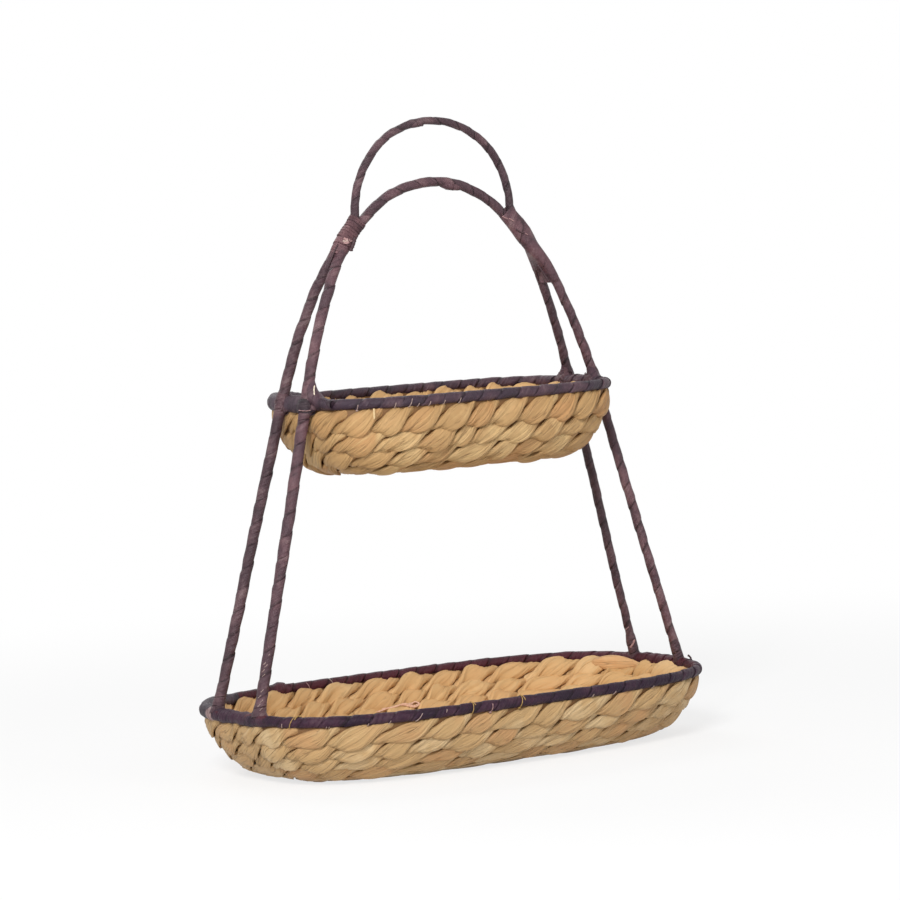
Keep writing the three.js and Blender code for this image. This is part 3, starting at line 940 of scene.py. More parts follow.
@dataclass(frozen=True)
class Braid:
    """How a row is braided.

    Attributes:
        lobe: The distance from one lobe to the next along a row.
        thickness: The row's thickness through the wall.
        overlap: How far the row reaches over the rows beside it.
        edge: How round a strand's edges are, from 0 for sharp to 0.5 for round.
        pinch: The share by which a row narrows from a lobe's middle to its ends.
        dwell: How long a lobe lies flat before it turns under, from 0 to 1.
        tuck: How far one edge of a strand lies over the next lobe, and the other edge under the last.
        lean: How far a row's lower edge stands out over the next row, as a slope.
        uneven: How irregular the lobes are, from 0 to 1.
        wrinkle: The depth of the folds along a strand, as a share of its thickness.
        flatness: The share by which the lobes' outer faces are pressed flat.
        step: The distance between a strand's sections.
        sides: Points round a strand's section.
    """

    lobe: float
    thickness: float = 0.0145
    overlap: float = 0.0028
    edge: float = 0.42
    pinch: float = 0.10
    dwell: float = 0.25
    tuck: float = 0.13
    lean: float = 0.22
    uneven: float = 0.75
    wrinkle: float = 0.20
    flatness: float = 0.5
    step: float = 0.0016
    sides: int = 31

    def twist(
        self, form: TwistedStrand, name: str, track: Track, height: float, finish: Finish, seed: float
    ) -> Piece:
        """Twist the two strands of a row along a track and give them as one piece.

        Args:
            form: The Geometry Nodes form of one strand.
            name: The piece's name.
            track: The row's middle line, with the way out of the wall.
            height: The row's height along the wall.
            finish: The straw's finish.
            seed: What sets this row apart.

        Returns:
            The row.
        """
        turns = max(round(track.length / (2 * self.lobe)), 1)
        strands = []
        for phase in (0.0, 0.5):
            values = {
                "Columns": int(track.length / self.step) + 1,
                "Sides": self.sides,
                "Seed": seed,
                "Finish": finish.material(),
                "Turns": float(turns),
                "Phase": phase + seed * 0.37,
                "Reach Out": self.thickness / 2,
                "Reach Up": height / 2 + self.overlap,
                "Open": 0.0 if track.closed else 1.0,
                **{title: getattr(self, title.lower()) for title in BRAID_SHAPE},
            }
            strands.append(form.make(f"{name}_strand", track, values))
        return joined(name, strands)


class SewnThread(Form):
    """A thread or a narrow fold of leaf along a path, with rounded ends. The path's girth is half its
    thickness, and its spread is how much wider it is to each side."""

    title = "sewn_thread"
    inputs = ("Plies", "Lay", "Rough")

    def shape(self, share: Sock, turn: Sock) -> tuple[Sock, dict[str, Sock]]:
        """Give the thread's points, and its UV.

        Args:
            share, turn: The same as for Form.

        Returns:
            The place, and the values by name.
        """
        graph, given = self.graph, self.given
        run = share * self.whole
        at = self.station(run)
        section = turn * TAU
        tip = graph.tip(share, 1.0 - share, 14.0) ** 0.5
        ply = graph.maths("SINE", section * given["Plies"] + run / given["Lay"] * TAU)
        rough = graph.noise(at.place + graph.vector(given["Seed"], 0.0, 0.0), 600.0, 1.0)
        girth = self.value_at(run, "girth") * (1.0 + ply * 0.16 + rough * given["Rough"]) * tip
        flat = self.value_at(run, "spread") * tip
        aside = at.third * (graph.maths("COSINE", section) * (girth + flat))
        place = at.place + aside + at.across * (graph.maths("SINE", section) * girth)
        return place, {"strand": graph.vector(run, turn, 0.0)}

    def lay(
        self, name: str, track: Track, finish: Finish, seed: float, lay: float = 0.003, rough: float = 0.4
    ) -> Piece:
        """Lay a thread along a track and give it as a mesh.

        Args:
            name: The piece's name.
            track: The thread's path.
            finish: Its finish.
            seed: What sets it apart.
            lay: How far its plies go along it in one turn.
            rough: How rough it is, from 0 to 1.

        Returns:
            The thread.
        """
        values = {
            "Columns": max(int(track.length / 0.0004), 12),
            "Sides": 11,
            "Seed": seed,
            "Finish": finish.material(),
            "Plies": 2.0 if lay < 0.1 else 1.0,
            "Lay": lay,
            "Rough": rough,
        }
        return self.make(name, track, values)


def joined(name: str, pieces: Sequence[Piece]) -> Piece:
    """Join pieces into one object of that name.

    Args:
        name: The object's name.
        pieces: What it is made of.

    Returns:
        The object.
    """
    first = pieces[0]
    if len(pieces) > 1:
        chosen = list(pieces)
        with bpy.context.temp_override(
            active_object=first, selected_objects=chosen, selected_editable_objects=chosen
        ):
            bpy.ops.object.join()
    first.name = name
    first.data.name = name
    return first


def settle(piece: Piece, slot: Slot, *nodes: str) -> None:
    """Put a piece on its body and let it stand for its CAD nodes.

    Args:
        piece: The piece.
        slot: Its material slot; not used.
        nodes: The CAD nodes, if any.
    """
    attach(piece, BODY)
    if nodes:
        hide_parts(*nodes)
    count = len(piece.data.polygons)
    LOG.info("%s: %d faces, stands for %s", piece.name, count, ", ".join(nodes) or "no node")


# The frame's lines


@dataclass(frozen=True)
class Oval:
    """A rim's middle line and the basket that hangs from it.

    Attributes:
        length, width: The oval's size, along X and Y.
        squareness: The power of its curve: 2 is an ellipse.
        height: The rim's height.
        floor: The depth of the middle of the base below the rim.
        top: The inset and depth of the braid's upper edge.
        knee, heel: The insets of the profile's bend and of the base's edge.
    """

    length: float
    width: float
    squareness: float
    height: float
    floor: float
    knee: float
    heel: float
    top: Pair = (0.0015, 0.0051)

    def point(self, angle: float, inset: float = 0.0, depth: float = 0.0) -> np.ndarray:
        """Give a point of the oval, moved in and down.

        Args:
            angle: The angle round the oval.
            inset, depth: How far in and down.

        Returns:
            The point.
        """

        def bend(value: float) -> float:
            """Square the curve."""
            return math.copysign(abs(value) ** (2 / self.squareness), value)

        x = (self.length / 2 - inset) * bend(math.cos(angle))
        y = (self.width / 2 - inset) * bend(math.sin(angle))
        return np.array([x, y, self.height - depth])

    def slope(self, angle: float) -> np.ndarray:
        """Give the way from a little before an angle to a little after it."""
        return self.point(angle + NUDGE) - self.point(angle - NUDGE)

    def outward(self, angle: float) -> np.ndarray:
        """Give the level direction out of the oval."""
        return unit(np.cross(self.slope(angle), UPWARDS))

    def swept(self, angle: float, distance: float) -> float:
        """Give the angle that lies a distance along the oval after another."""
        return angle + distance / float(np.linalg.norm(self.slope(angle)) / (2 * NUDGE))

    def angle_at(self, spread: float) -> float:
        """Give the angle at which the oval is that far from its long axis."""
        return math.asin((spread / (self.width / 2)) ** (self.squareness / 2))

    def end_at(self, spread: float) -> float:
        """Give the oval's reach along X there."""
        return float(self.point(self.angle_at(spread))[0])

    def profile(self, share: float) -> np.ndarray:
        """Give the inset and depth at a share of the wall's curve."""
        return bezier([self.top, (self.knee, self.floor), (self.heel, self.floor)], share)

    def wall_runs(self) -> tuple[np.ndarray, np.ndarray]:
        """Give shares of the wall's curve, and how far it has run at each."""
        shares = np.linspace(0, 1, 201)
        return shares, run_along(np.array([self.profile(t) for t in shares]))

    def track(self, before: np.ndarray, at: np.ndarray, after: np.ndarray, start: float = 0.0) -> Track:
        """Give a track round the oval.

        Args:
            before, at, after: The inset and depth a little above the track, on it, and below it.
            start: The angle at which it starts.

        Returns:
            The track, with the way out of the wall.
        """
        angles = start + full_turn(720)
        points = np.array([self.point(a, *at) for a in angles])
        rise = np.array([self.point(a, *before) - self.point(a, *after) for a in angles])
        along = np.roll(points, -1, axis=0) - np.roll(points, 1, axis=0)
        return strung(points, unit(np.cross(along, rise)), closed=True)


@dataclass(frozen=True)
class FrameLines:
    """The middle lines of the four wires, as the CAD source has them.

    Attributes:
        foot_spread, crossing_spread: How far a leg stands from the middle at the lower and upper rim.
        neck_spread: The same where the two hoops begin to close.
        wire_pitch: The distance between two wires that lie side by side.
        arch_rise: The arch's height over the upper rim.
        side_pull, crown_pull: How far the handles of its curve reach.
        half_span, spring, handle_rise: The handle's half width, its straight height, and its bow's rise.
        neck_at, binding_at: Where on the curve the hoops begin to close and to roll over.
        shoulder_low, shoulder_high: Where they lie side by side and where they part.
        lower, upper: The rims.
    """

    foot_spread: float = 0.031
    crossing_spread: float = 0.018
    neck_spread: float = 0.010
    wire_pitch: float = 0.0053
    arch_rise: float = 0.173
    side_pull: float = 0.110
    crown_pull: float = 0.075
    half_span: float = 0.0775
    spring: float = 0.1515
    handle_rise: float = 0.072
    neck_at: float = 0.29
    binding_at: float = 0.36
    shoulder_low: float = 0.45
    shoulder_high: float = 0.56
    lower: Oval = Oval(0.428, 0.233, 3.2, 0.055, floor=0.049, knee=0.019, heel=0.044)
    upper: Oval = Oval(0.281, 0.156, 3.6, 0.300, floor=0.054, knee=0.0125, heel=0.039, top=(0.0015, 0.0054))

    @property
    def foot_x(self) -> float:
        """Give the reach of the feet."""
        return self.lower.end_at(self.foot_spread)

    @property
    def crossing_x(self) -> float:
        """Give the reach of the legs where they pass the upper rim."""
        return self.upper.end_at(self.crossing_spread) + self.wire_pitch

    def crown(self, share: float) -> np.ndarray:
        """Give a point of the right half of the arch's curve.

        Args:
            share: The curve's parameter.

        Returns:
            The point.
        """
        low, top = self.upper.height, self.upper.height + self.arch_rise
        lean = (self.foot_x - self.crossing_x) / (low - self.lower.height)
        handles = (
            (self.crossing_x, 0, low),
            (self.crossing_x - lean * self.side_pull, 0, low + self.side_pull),
            (self.crown_pull, 0, top),
            (0, 0, top),
        )
        return bezier(handles, share)

    def heading(self, share: float) -> np.ndarray:
        """Give the direction of the arch's curve."""
        step = 1e-4
        return unit(self.crown(min(share + step, 1)) - self.crown(max(share - step, 0)))

    def crown_point(self, share: float, is_handle: bool) -> np.ndarray:
        """Give a hoop's place beside the arch's curve.

        Args:
            share: The curve's parameter.
            is_handle: Whether it is the rear hoop, which rises as the handle.

        Returns:
            The place.
        """
        closed = smoothstep(share, self.neck_at, self.shoulder_low)
        apart = lerp(2 * self.neck_spread, self.wire_pitch, closed)
        if share <= self.neck_at:
            apart = 2 * lerp(self.crossing_spread, self.neck_spread, share / self.neck_at)
        roll = smoothstep(share, self.binding_at, self.shoulder_high) * math.pi / 2
        side = (apart if is_handle else -apart) / 2
        offset = side * math.sin(roll) * (1 - smoothstep(share, self.shoulder_high, 1))
        along = self.heading(share)
        place = self.crown(share) + np.array([along[2], 0, -along[0]]) * offset
        place[1] = side * math.cos(roll)
        return place

    def handle_top(self) -> list[np.ndarray]:
        """Give the handle from the shoulder to its top.

        Returns:
            The points, without the shoulder's.
        """
        shoulder = self.crown_point(self.shoulder_high, True)
        spring = self.upper.height + self.spring
        along = self.heading(self.shoulder_high)
        turn = shoulder[2] + (self.half_span - shoulder[0]) * along[2] / along[0]
        handles = (shoulder, (self.half_span, 0, turn), (self.half_span, 0, spring))
        bend = [bezier(handles, t) for t in np.linspace(0, 1, 25)[1:]]
        arc = [
            np.array([self.half_span * math.cos(a), 0, spring + self.handle_rise * math.sin(a)])
            for a in np.linspace(0, math.pi / 2, 49)[1:]
        ]
        return bend + arc

    def hoop_at(self, height: float, side: int, is_handle: bool) -> np.ndarray:
        """Give a hoop's place at a height, on its right side or its left."""
        points = self.hoop(is_handle)
        half = points[: len(points) // 2 + 1]
        x, y = (np.interp(height, half[:, 2], half[:, i]) for i in (0, 1))
        return np.array([x * side, y, height])

    def hoop(self, is_handle: bool) -> np.ndarray:
        """Give a whole hoop's points, from its right foot over the top to its left foot.

        Args:
            is_handle: Whether it is the rear hoop.

        Returns:
            The points, one a row.
        """
        side = self.foot_spread if is_handle else -self.foot_spread
        foot = np.array([self.foot_x, side, self.lower.height])
        crossing = self.crown_point(0, is_handle)
        leg = [foot + (crossing - foot) * t for t in np.linspace(0, 1, 60)[:-1]]
        last = self.shoulder_high if is_handle else 1.0
        crown = [self.crown_point(t, is_handle) for t in np.linspace(0, last, 120)]
        half = leg + crown + (self.handle_top() if is_handle else [])
        other = [point * (-1, 1, 1) for point in half[-2::-1]]
        return np.array(half + other)


def smoothed(points: np.ndarray, rounds: int = 6) -> np.ndarray:
    """Ease the kinks of an open line, with its ends kept."""
    for _ in range(rounds):
        points = points.copy()
        points[1:-1] = points[1:-1] / 2 + (points[:-2] + points[2:]) / 4
    return points


def wavered(points: np.ndarray, amount: float, seed: int) -> np.ndarray:
    """Let a line stray a little, as a hand-bent wire does, with its ends kept.

    Args:
        points: The line.
        amount: How far it may stray.
        seed: What sets this line apart.

    Returns:
        The line's new points.
    """
    chance = np.random.default_rng(seed)
    runs = run_along(points)
    share = runs / runs[-1]
    stray = np.zeros_like(points)
    for waves in (5, 9, 17, 31):
        phases = chance.uniform(0, TAU, 3)
        stray += np.sin(waves * TAU * share[:, None] + phases) / math.sqrt(waves)
    return points + stray * amount * np.sin(share * math.pi)[:, None] ** 0.25


# Sub-assemblies


@dataclass(frozen=True)
class EndWrap:
    """A short winding round a rim's end, over the rim's own.

    Attributes:
        name: Where it is.
        oval: The rim's line.
        start, end: The angles from which and to which it goes.
        girths: The radii under it, evenly apart.
        finish: The tape.
        node: The CAD node that it stands for, if any.
        inset: How far inside the rim's line it lies.
        lay: How far along the rim each turn goes.
    """

    name: str
    oval: Oval
    start: float
    end: float
    girths: tuple[float, ...]
    finish: LeafTapeFinish
    node: str = ""
    inset: float = 0.0
    lay: float = 0.0125

    def track(self) -> Track:
        """Give the winding's track."""
        angles = [lerp(self.start, self.end, t) for t in np.linspace(0, 1, 80)]
        points = np.array([self.oval.point(a, self.inset) for a in angles])
        return strung(points, UPWARDS, self.girths).evened(0.001)


@dataclass
class WireFrame:
    """The tape that is wound round the two hoops and the two rims.

    Attributes:
        lines: The wires' middle lines.
        form: The Geometry Nodes form of wound tape.
        bare: The radius of a wire with its padding, under the outer tape.
        waver: How far a hoop strays from its line.
        front_girths, rear_girths: The same along the hoops, from the right foot to the left.
        hoop_winding, rim_winding, end_winding: How each is wound.
    """

    lines: FrameLines
    form: WoundTape
    bare: float = 0.0033
    waver: float = 0.00035
    front_girths: tuple[float, ...] = (0.0026, 0.0027, 0.0027, 0.0027, 0.0027, 0.0029, 0.0032, 0.0034, 0.0033)
    rear_girths: tuple[float, ...] = (0.0024, 0.0025, 0.0026, 0.0023, 0.0019, 0.0024, 0.0030, 0.0033, 0.0032)
    hoop_winding: Winding = Winding(lay=0.0185, breadth=0.025, thickness=0.0008, hand=1.0)
    rim_winding: Winding = Winding(lay=0.0185, breadth=0.024, hand=-1.0, play=0.006)
    end_winding: Winding = Winding(thickness=0.0012, hand=-1.0, play=0.004, crumple=0.0020)

    def hoop_track(self, is_handle: bool) -> Track:
        """Give a hoop's track, from foot to foot."""
        points = wavered(smoothed(self.lines.hoop(is_handle)), self.waver, seed=11 + is_handle)
        girths = self.rear_girths if is_handle else self.front_girths
        return strung(points, LEVEL, girths).evened(0.002)

    def rim_track(self, oval: Oval, spread: float) -> Track:
        """Give a rim's track, which starts at the rear right leg."""
        angles = oval.angle_at(spread) + full_turn(720)
        points = np.array([oval.point(a) for a in angles])
        return strung(points, UPWARDS, (self.bare,), closed=True).evened(0.002)

    def end_wraps(self) -> tuple[EndWrap, ...]:
        """Give the windings round the rims' ends, of which the left ones are bulky and worn.

        Returns:
            The windings.
        """
        lower, upper = self.lines.lower, self.lines.upper
        low, high = lower.angle_at(self.lines.foot_spread), upper.angle_at(self.lines.crossing_spread)
        left, worn = math.pi, WORN_TAPE
        slim, plump = (0.0033, 0.0037, 0.0037, 0.0033), (0.0046, 0.0053, 0.0053, 0.0046)
        lump = (0.0034, 0.0050, 0.0044, 0.0034)
        low_nose = (0.0032, 0.0037, 0.0039, 0.0037, 0.0032)
        high_nose = (0.0034, 0.0048, 0.0052, 0.0050, 0.0048)
        low_reach, high_reach = (left - 0.95, left - low * 0.6), (left - 1.1, left - high * 0.5)
        return (
            EndWrap("lower_rim_right_end", lower, -low, low, slim, LOWER_RIM_TAPE, "lower_rim_tape_right"),
            EndWrap(
                "lower_rim_left_end", lower, left - low, left + low, slim, LOWER_RIM_TAPE,
                "lower_rim_tape_left",
            ),
            EndWrap("lower_rim_left_nose", lower, *low_reach, low_nose, worn, "", 0.001, 0.007),
            EndWrap("lower_rim_rear_lump", lower, 1.83, 1.94, lump, LOWER_RIM_TAPE),
            EndWrap("upper_rim_right_end", upper, -high, high, slim, UPPER_RIM_TAPE, "upper_rim_tape_right"),
            EndWrap(
                "upper_rim_left_end", upper, left - high, left + high, plump, worn, "upper_rim_tape_left"
            ),
            EndWrap("upper_rim_left_nose", upper, *high_reach, high_nose, worn, "", 0.001, 0.008),
        )

    def build(self) -> None:
        """Wind the hoops and the rims, and finish the wires."""
        hoops = (("front", False, "arch", FRONT_TAPE), ("rear", True, "handle", HOOP_TAPE))
        for name, is_handle, top, finish in hoops:
            track = self.hoop_track(is_handle)
            piece = self.hoop_winding.wind(self.form, f"{name}_hoop_winding", track, finish, 3.1 + is_handle)
            sides = [f"{side}_{name}_{part}_tape" for side in ("left", "right") for part in ("leg", "arm")]
            settle(piece, Slot.LEAF, f"{top}_tape", *sides)
        rims = (
            ("lower", self.lines.lower, self.lines.foot_spread, LOWER_RIM_TAPE),
            ("upper", self.lines.upper, self.lines.crossing_spread, UPPER_RIM_TAPE),
        )
        for seed, (name, oval, spread, finish) in enumerate(rims):
            track = self.rim_track(oval, spread)
            piece = self.rim_winding.wind(self.form, f"{name}_rim_winding", track, finish, 7.3 + seed)
            settle(piece, Slot.LEAF, f"{name}_rim_tape_front", f"{name}_rim_tape_rear")
        for seed, wrap in enumerate(self.end_wraps()):
            title = f"{wrap.name}_winding"
            winding = replace(self.end_winding, lay=wrap.lay, breadth=wrap.lay * 1.45)
            piece = winding.wind(self.form, title, wrap.track(), wrap.finish, 5.1 + seed * 1.7)
            settle(piece, Slot.LEAF, *((wrap.node,) if wrap.node else ()))
        for name in ("arch_hoop_wire", "handle_hoop_wire", "lower_rim_wire", "upper_rim_wire"):
            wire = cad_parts[name]
            wire.data.materials.clear()
            wire.data.materials.append(STEEL.material())


@dataclass(frozen=True)
class Sheath:
    """How a shoulder is bound.

    Attributes:
        name: Which band it is.
        side: 1 for the right shoulder, -1 for the left.
        start, end: The parameters of the arch's curve from which and to which it goes.
        overrun: How far it goes on over the fork.
        girths: The radii of the hoops under it, evenly apart.
        winding: How it is wound.
        finish: The tape.
    """

    name: str
    side: int
    start: float
    end: float
    overrun: float
    girths: tuple[float, ...]
    winding: Winding
    finish: Finish = SHEATH_TAPE


@dataclass
class Shoulders:
    """The bindings that hold the two hoops together where the arch and the handle part: a smooth
    sheath on the right, and on the left a fine winding over a coarser one."""

    lines: FrameLines
    form: WoundTape
    fine: Winding = Winding(0.0025, 0.0033, 0.0005, play=0.0005, crumple=0.0008, steps=44)
    coarse: Winding = Winding(0.0065, 0.0105, 0.0005, play=0.002, crumple=0.0009, steps=40)
    smooth: Winding = Winding(0.026, 0.037, 0.0006, play=0.001, crumple=0.0008, steps=90, sides=17)

    def sheaths(self) -> tuple[Sheath, ...]:
        """Give the bands of both shoulders.

        Returns:
            The bands.
        """
        broad = (0.0026, 0.0032, 0.0044, 0.0053, 0.0052, 0.0045, 0.0039, 0.0034)
        high = self.lines.shoulder_high
        return (
            Sheath("right_shoulder", 1, 0.300, high, 0.012, broad, self.smooth, FRONT_TAPE),
            Sheath("left_shoulder_low", -1, 0.445, 0.515, 0.0, (0.0033, 0.0038, 0.0042), self.coarse),
            Sheath("left_shoulder_high", -1, 0.505, high, 0.009, (0.0044, 0.0044, 0.0041), self.fine),
        )

    def track(self, sheath: Sheath) -> Track:
        """Give the line between the hoops along a band.

        Args:
            sheath: The band.

        Returns:
            The track, which spreads to both hoops.
        """
        high = self.lines.shoulder_high
        shares = np.linspace(sheath.start, sheath.end, 40)
        pairs = [tuple(self.lines.crown_point(t, is_handle) for is_handle in (False, True)) for t in shares]
        after_arch = self.lines.crown_point(high + 0.06, False)
        after_handle = self.lines.handle_top()[9]
        arch, handle = pairs[-1]
        ahead_arch, ahead_handle = unit(after_arch - arch), unit(after_handle - handle)
        for extra in np.linspace(0, sheath.overrun, 9)[1:] if sheath.overrun else ():
            pairs.append((arch + ahead_arch * extra, handle + ahead_handle * extra))
        inner, outer = (np.array(line) * (sheath.side, 1, 1) for line in zip(*pairs))
        apart = outer - inner
        spread = np.linalg.norm(apart, axis=1) / 2
        girth = ramped(sheath.girths, len(inner))
        return Track((inner + outer) / 2, unit(apart), False, spread, girth).evened(0.001)

    def build(self) -> None:
        """Bind both shoulders."""
        bands = {
            band.name: band.winding.wind(self.form, band.name, self.track(band), band.finish, 2.7 + i)
            for i, band in enumerate(self.sheaths())
        }
        for side in ("left", "right"):
            parts = [piece for name, piece in bands.items() if name.startswith(side)]
            settle(joined(f"{side}_shoulder", parts), Slot.LEAF, f"{side}_shoulder_binding")


@dataclass
class Ties:
    """The tape that ties the hoops' legs to the rims: crossed over where they pass the upper rim,
    and flared where they stand on the lower one."""

    lines: FrameLines
    form: WoundTape
    wrap: Winding = Winding(lay=0.0075, breadth=0.012, thickness=0.0005, play=0.002, steps=22)

    def straight(
        self,
        middle: np.ndarray,
        along: np.ndarray,
        across: np.ndarray,
        reach: Pair,
        girths: Sequence[float],
        spreads: Sequence[float] = (0.0, 0.0),
    ) -> Track:
        """Give a short straight track.

        Args:
            middle: The place that the reach is measured from.
            along: The track's direction.
            across: A direction beside it.
            reach: Where it starts and ends.
            girths: Radii from its start to its end, evenly apart.
            spreads: How far its section is widened along across, evenly apart too.

        Returns:
            The track.
        """
        points = middle + np.linspace(*reach, SHORT)[:, None] * unit(along)
        return strung(points, unit(across), girths, spreads)

    def web(
        self,
        corner: np.ndarray,
        first: np.ndarray,
        second: np.ndarray,
        out: np.ndarray,
        girth: float,
        tail: float = 0.0022,
    ) -> Track:
        """Give a track that bends from one wire to the other and fills the corner between them.

        Args:
            corner: Where the wires meet.
            first: How far up the leg it starts, from the corner.
            second: How far along the rim it ends, from the corner.
            out: The direction square to both.
            girth: Its radius in the middle.
            tail: Its radius at its end.

        Returns:
            The track.
        """
        handles = (corner + first, corner, corner + second)
        points = np.array([bezier(handles, t) for t in np.linspace(0, 1, SHORT)])
        return strung(points, unit(out), (0.0022, girth, tail))

    def meeting(self, side: int, is_handle: bool, oval: Oval, spread: float) -> tuple[np.ndarray, ...]:
        """Give a leg's place at the upper rim and the way up it, and its rim's place and way on.

        Args:
            side: 1 for the right end, -1 for the left.
            is_handle: Whether the leg is the rear hoop's.
            oval: The rim's line.
            spread: How far the leg stands from the rim's long axis.

        Returns:
            The leg's place and direction, and the rim's.
        """
        lines = self.lines
        turned = np.array([side, 1, 1])
        y_side = 1 if is_handle else -1
        leg = lines.crown_point(0, is_handle) * turned
        foot = np.array([lines.foot_x, lines.foot_spread * y_side, lines.lower.height]) * turned
        angle = oval.angle_at(spread) * y_side
        rim, beyond = (oval.point(a) * turned for a in (angle, angle + 0.05 * y_side))
        return leg, unit(leg - foot), rim, unit(beyond - rim)

    def crossing(self, name: str, side: int, is_handle: bool, seed: float) -> Piece:
        """Tie a leg to the end of the upper rim.

        Args:
            name: The piece's name.
            side: 1 for the right end, -1 for the left.
            is_handle: Whether the leg is the rear hoop's.
            seed: What sets this tie apart.

        Returns:
            The tie.
        """
        leg, up, rim, away = self.meeting(side, is_handle, self.lines.upper, self.lines.crossing_spread)
        out = unit(leg - rim)
        middle = (leg + rim) / 2
        half = float(np.linalg.norm(leg - rim)) / 2
        wide, round_girths = (0.0, half, half, 0.0), (0.0012, 0.0044, 0.0044, 0.0012)
        knotted = side < 0 and not is_handle
        plain, broad = (0.016, 0.018, 0.0036, 0.0022), (0.024, 0.029, 0.0054, 0.0028)
        high, reach, girth, tail = broad if knotted else plain
        near = (leg - middle) * 0.8
        webs = (
            (high, reach, girth, tail),
            (0.013, -0.011, 0.0034, 0.0022),
            (-0.013, 0.014, 0.0036, 0.0022),
            (-0.012, -0.011, 0.0034, 0.0022),
        )
        tracks = (
            self.straight(leg, up, out, (-0.015, 0.013), (0.0033, 0.0040, 0.0046, 0.0046, 0.0033)),
            self.straight(rim, away, out, (-0.011, 0.013), (0.0033, 0.0044, 0.0033)),
            self.straight(middle, up + away, out, (-0.010, 0.010), round_girths, wide),
            self.straight(middle, up - away, out, (-0.010, 0.010), round_girths, wide),
            *(self.web(middle, up * z + near, away * x - near, out, *sizes) for z, x, *sizes in webs),
        )
        # At the left front crossing, the rim and cross wraps and the knot take the dark knot tape, partly
        # painted shade.
        finishes = [KNOT_AND_SHADE_TAPE if knotted and i in (1, 3, 5, 7) else TIE_TAPE for i in range(len(tracks))]
        finishes[4] = UPPER_RIM_TAPE
        if knotted:
            knot = self.straight(leg, up, out, (-0.0085, 0.0065), (0.0032, 0.0060, 0.0066, 0.0062, 0.0034))
            tracks, finishes = (*tracks, knot), [*finishes, KNOT_AND_SHADE_TAPE]
        return self.wrapped(name, tracks, finishes, seed)

    def foot(self, name: str, side: int, is_handle: bool, seed: float) -> Piece:
        """Tie a leg's foot to the end of the lower rim, flaring along the rim.

        Args:
            name, side, is_handle, seed: The same as for crossing.

        Returns:
            The tie.
        """
        _, up, foot, away = self.meeting(side, is_handle, self.lines.lower, self.lines.foot_spread)
        out = np.cross(away, up)
        flare, base = (1.0, 0.0054) if side < 0 else (0.6, 0.0044)
        tracks = (
            self.straight(foot, up, out, (0.0, 0.022), (base, base - 0.0007, 0.0037, 0.0032)),
            self.straight(foot, away, out, (-0.015, 0.015), (0.0033, 0.0042, 0.0046, 0.0042, 0.0033)),
            *(self.web(foot, up * 0.016 * flare, away * x * flare, out, 0.0036) for x in (0.015, -0.013)),
        )
        finishes = [TIE_TAPE, LOWER_RIM_TAPE, TIE_TAPE, TIE_TAPE]
        if side < 0 and is_handle:
            band = self.straight(foot, away, out, (0.0005, 0.0125), (0.0044, 0.0052, 0.0052, 0.0040))
            tracks, finishes = (*tracks, band), [*finishes, PINK_TAPE]
        return self.wrapped(name, tracks, finishes, seed)

    def wrapped(self, name: str, tracks: Sequence[Track], finishes: Sequence[Finish], seed: float) -> Piece:
        """Wrap tape along each track of a tie and give the tie as one piece.

        Args:
            name: The piece's name.
            tracks, finishes: The tracks, and the tape on each.
            seed: What sets this tie apart.

        Returns:
            The tie.
        """
        wound = [
            self.wrap.wind(self.form, f"{name}_wrap", track, finish, seed + i * 0.9)
            for i, (track, finish) in enumerate(zip(tracks, finishes))
        ]
        return joined(name, wound)

    def build(self) -> None:
        """Tie all eight places."""
        seed = 0.5
        for side, side_name in ((1, "right"), (-1, "left")):
            for is_handle, place in ((False, "front"), (True, "rear")):
                seed += 1.3
                label = f"{side_name}_{place}"
                crossing = self.crossing(f"{label}_crossing_tie", side, is_handle, seed)
                settle(crossing, Slot.LEAF, f"{label}_crossing_binding")
                foot = self.foot(f"{label}_foot_tie", side, is_handle, seed + 0.4)
                settle(foot, Slot.LEAF, f"{label}_foot_binding")


def coil(centre: np.ndarray, axis: np.ndarray, radius: float, half: float) -> Track:
    """Give a small coil of two turns, for a knot.

    Args:
        centre: Its middle.
        axis: The direction that it turns round.
        radius: Its radius.
        half: Half the thread's thickness.

    Returns:
        The track.
    """
    first = unit(np.cross(axis, (0.3, 0.2, 0.9)))
    second = np.cross(axis, first)
    turns = np.linspace(0, 2 * TAU, 48)[:, None]
    ring = np.cos(turns) * first + np.sin(turns) * second * 0.75
    points = centre + ring * radius + axis * (turns / TAU - 1) * half
    return strung(points, axis, (half,))


@dataclass(frozen=True)
class Stitch:
    """A thread that is sewn over a rim.

    Attributes:
        angle: Where on the rim it is.
        start, end: How far round the rim's section it shows, in degrees from the top, outwards.
        slant: How far along the rim it shifts on its way.
        finish: The thread's finish.
        knot: Where on its way it is knotted, from 0 to 1, if it is.
        half: Half its thickness.
        lift: Its distance from the rim's middle line.
    """

    angle: float
    start: float
    end: float
    slant: float = -0.001
    finish: ThreadFinish = PALE_THREAD
    knot: float | None = None
    half: float = 0.0003
    lift: float = 0.0050

    def point(self, oval: Oval, share: float) -> tuple[np.ndarray, np.ndarray]:
        """Give a place on the thread and the way out of the rim there."""
        turn = math.radians(lerp(self.start, self.end, share))
        angle = oval.swept(self.angle, self.slant * (share - 0.5))
        way = np.array([0.0, 0.0, math.cos(turn)]) + oval.outward(angle) * math.sin(turn)
        return oval.point(angle) + way * self.lift, way

    def tracks(self, oval: Oval) -> list[Track]:
        """Give the thread's track on a rim, and its knot's.

        Args:
            oval: The rim's line.

        Returns:
            The tracks.
        """
        places = [self.point(oval, t) for t in np.linspace(0, 1, SHORT)]
        points, ways = (np.array(column) for column in zip(*places))
        tracks = [strung(points, ways, (self.half,))]
        if self.knot is not None:
            place, way = self.point(oval, self.knot)
            tracks.append(coil(place + way * 0.0003, way, 0.0009, self.half * 1.2))
        return tracks


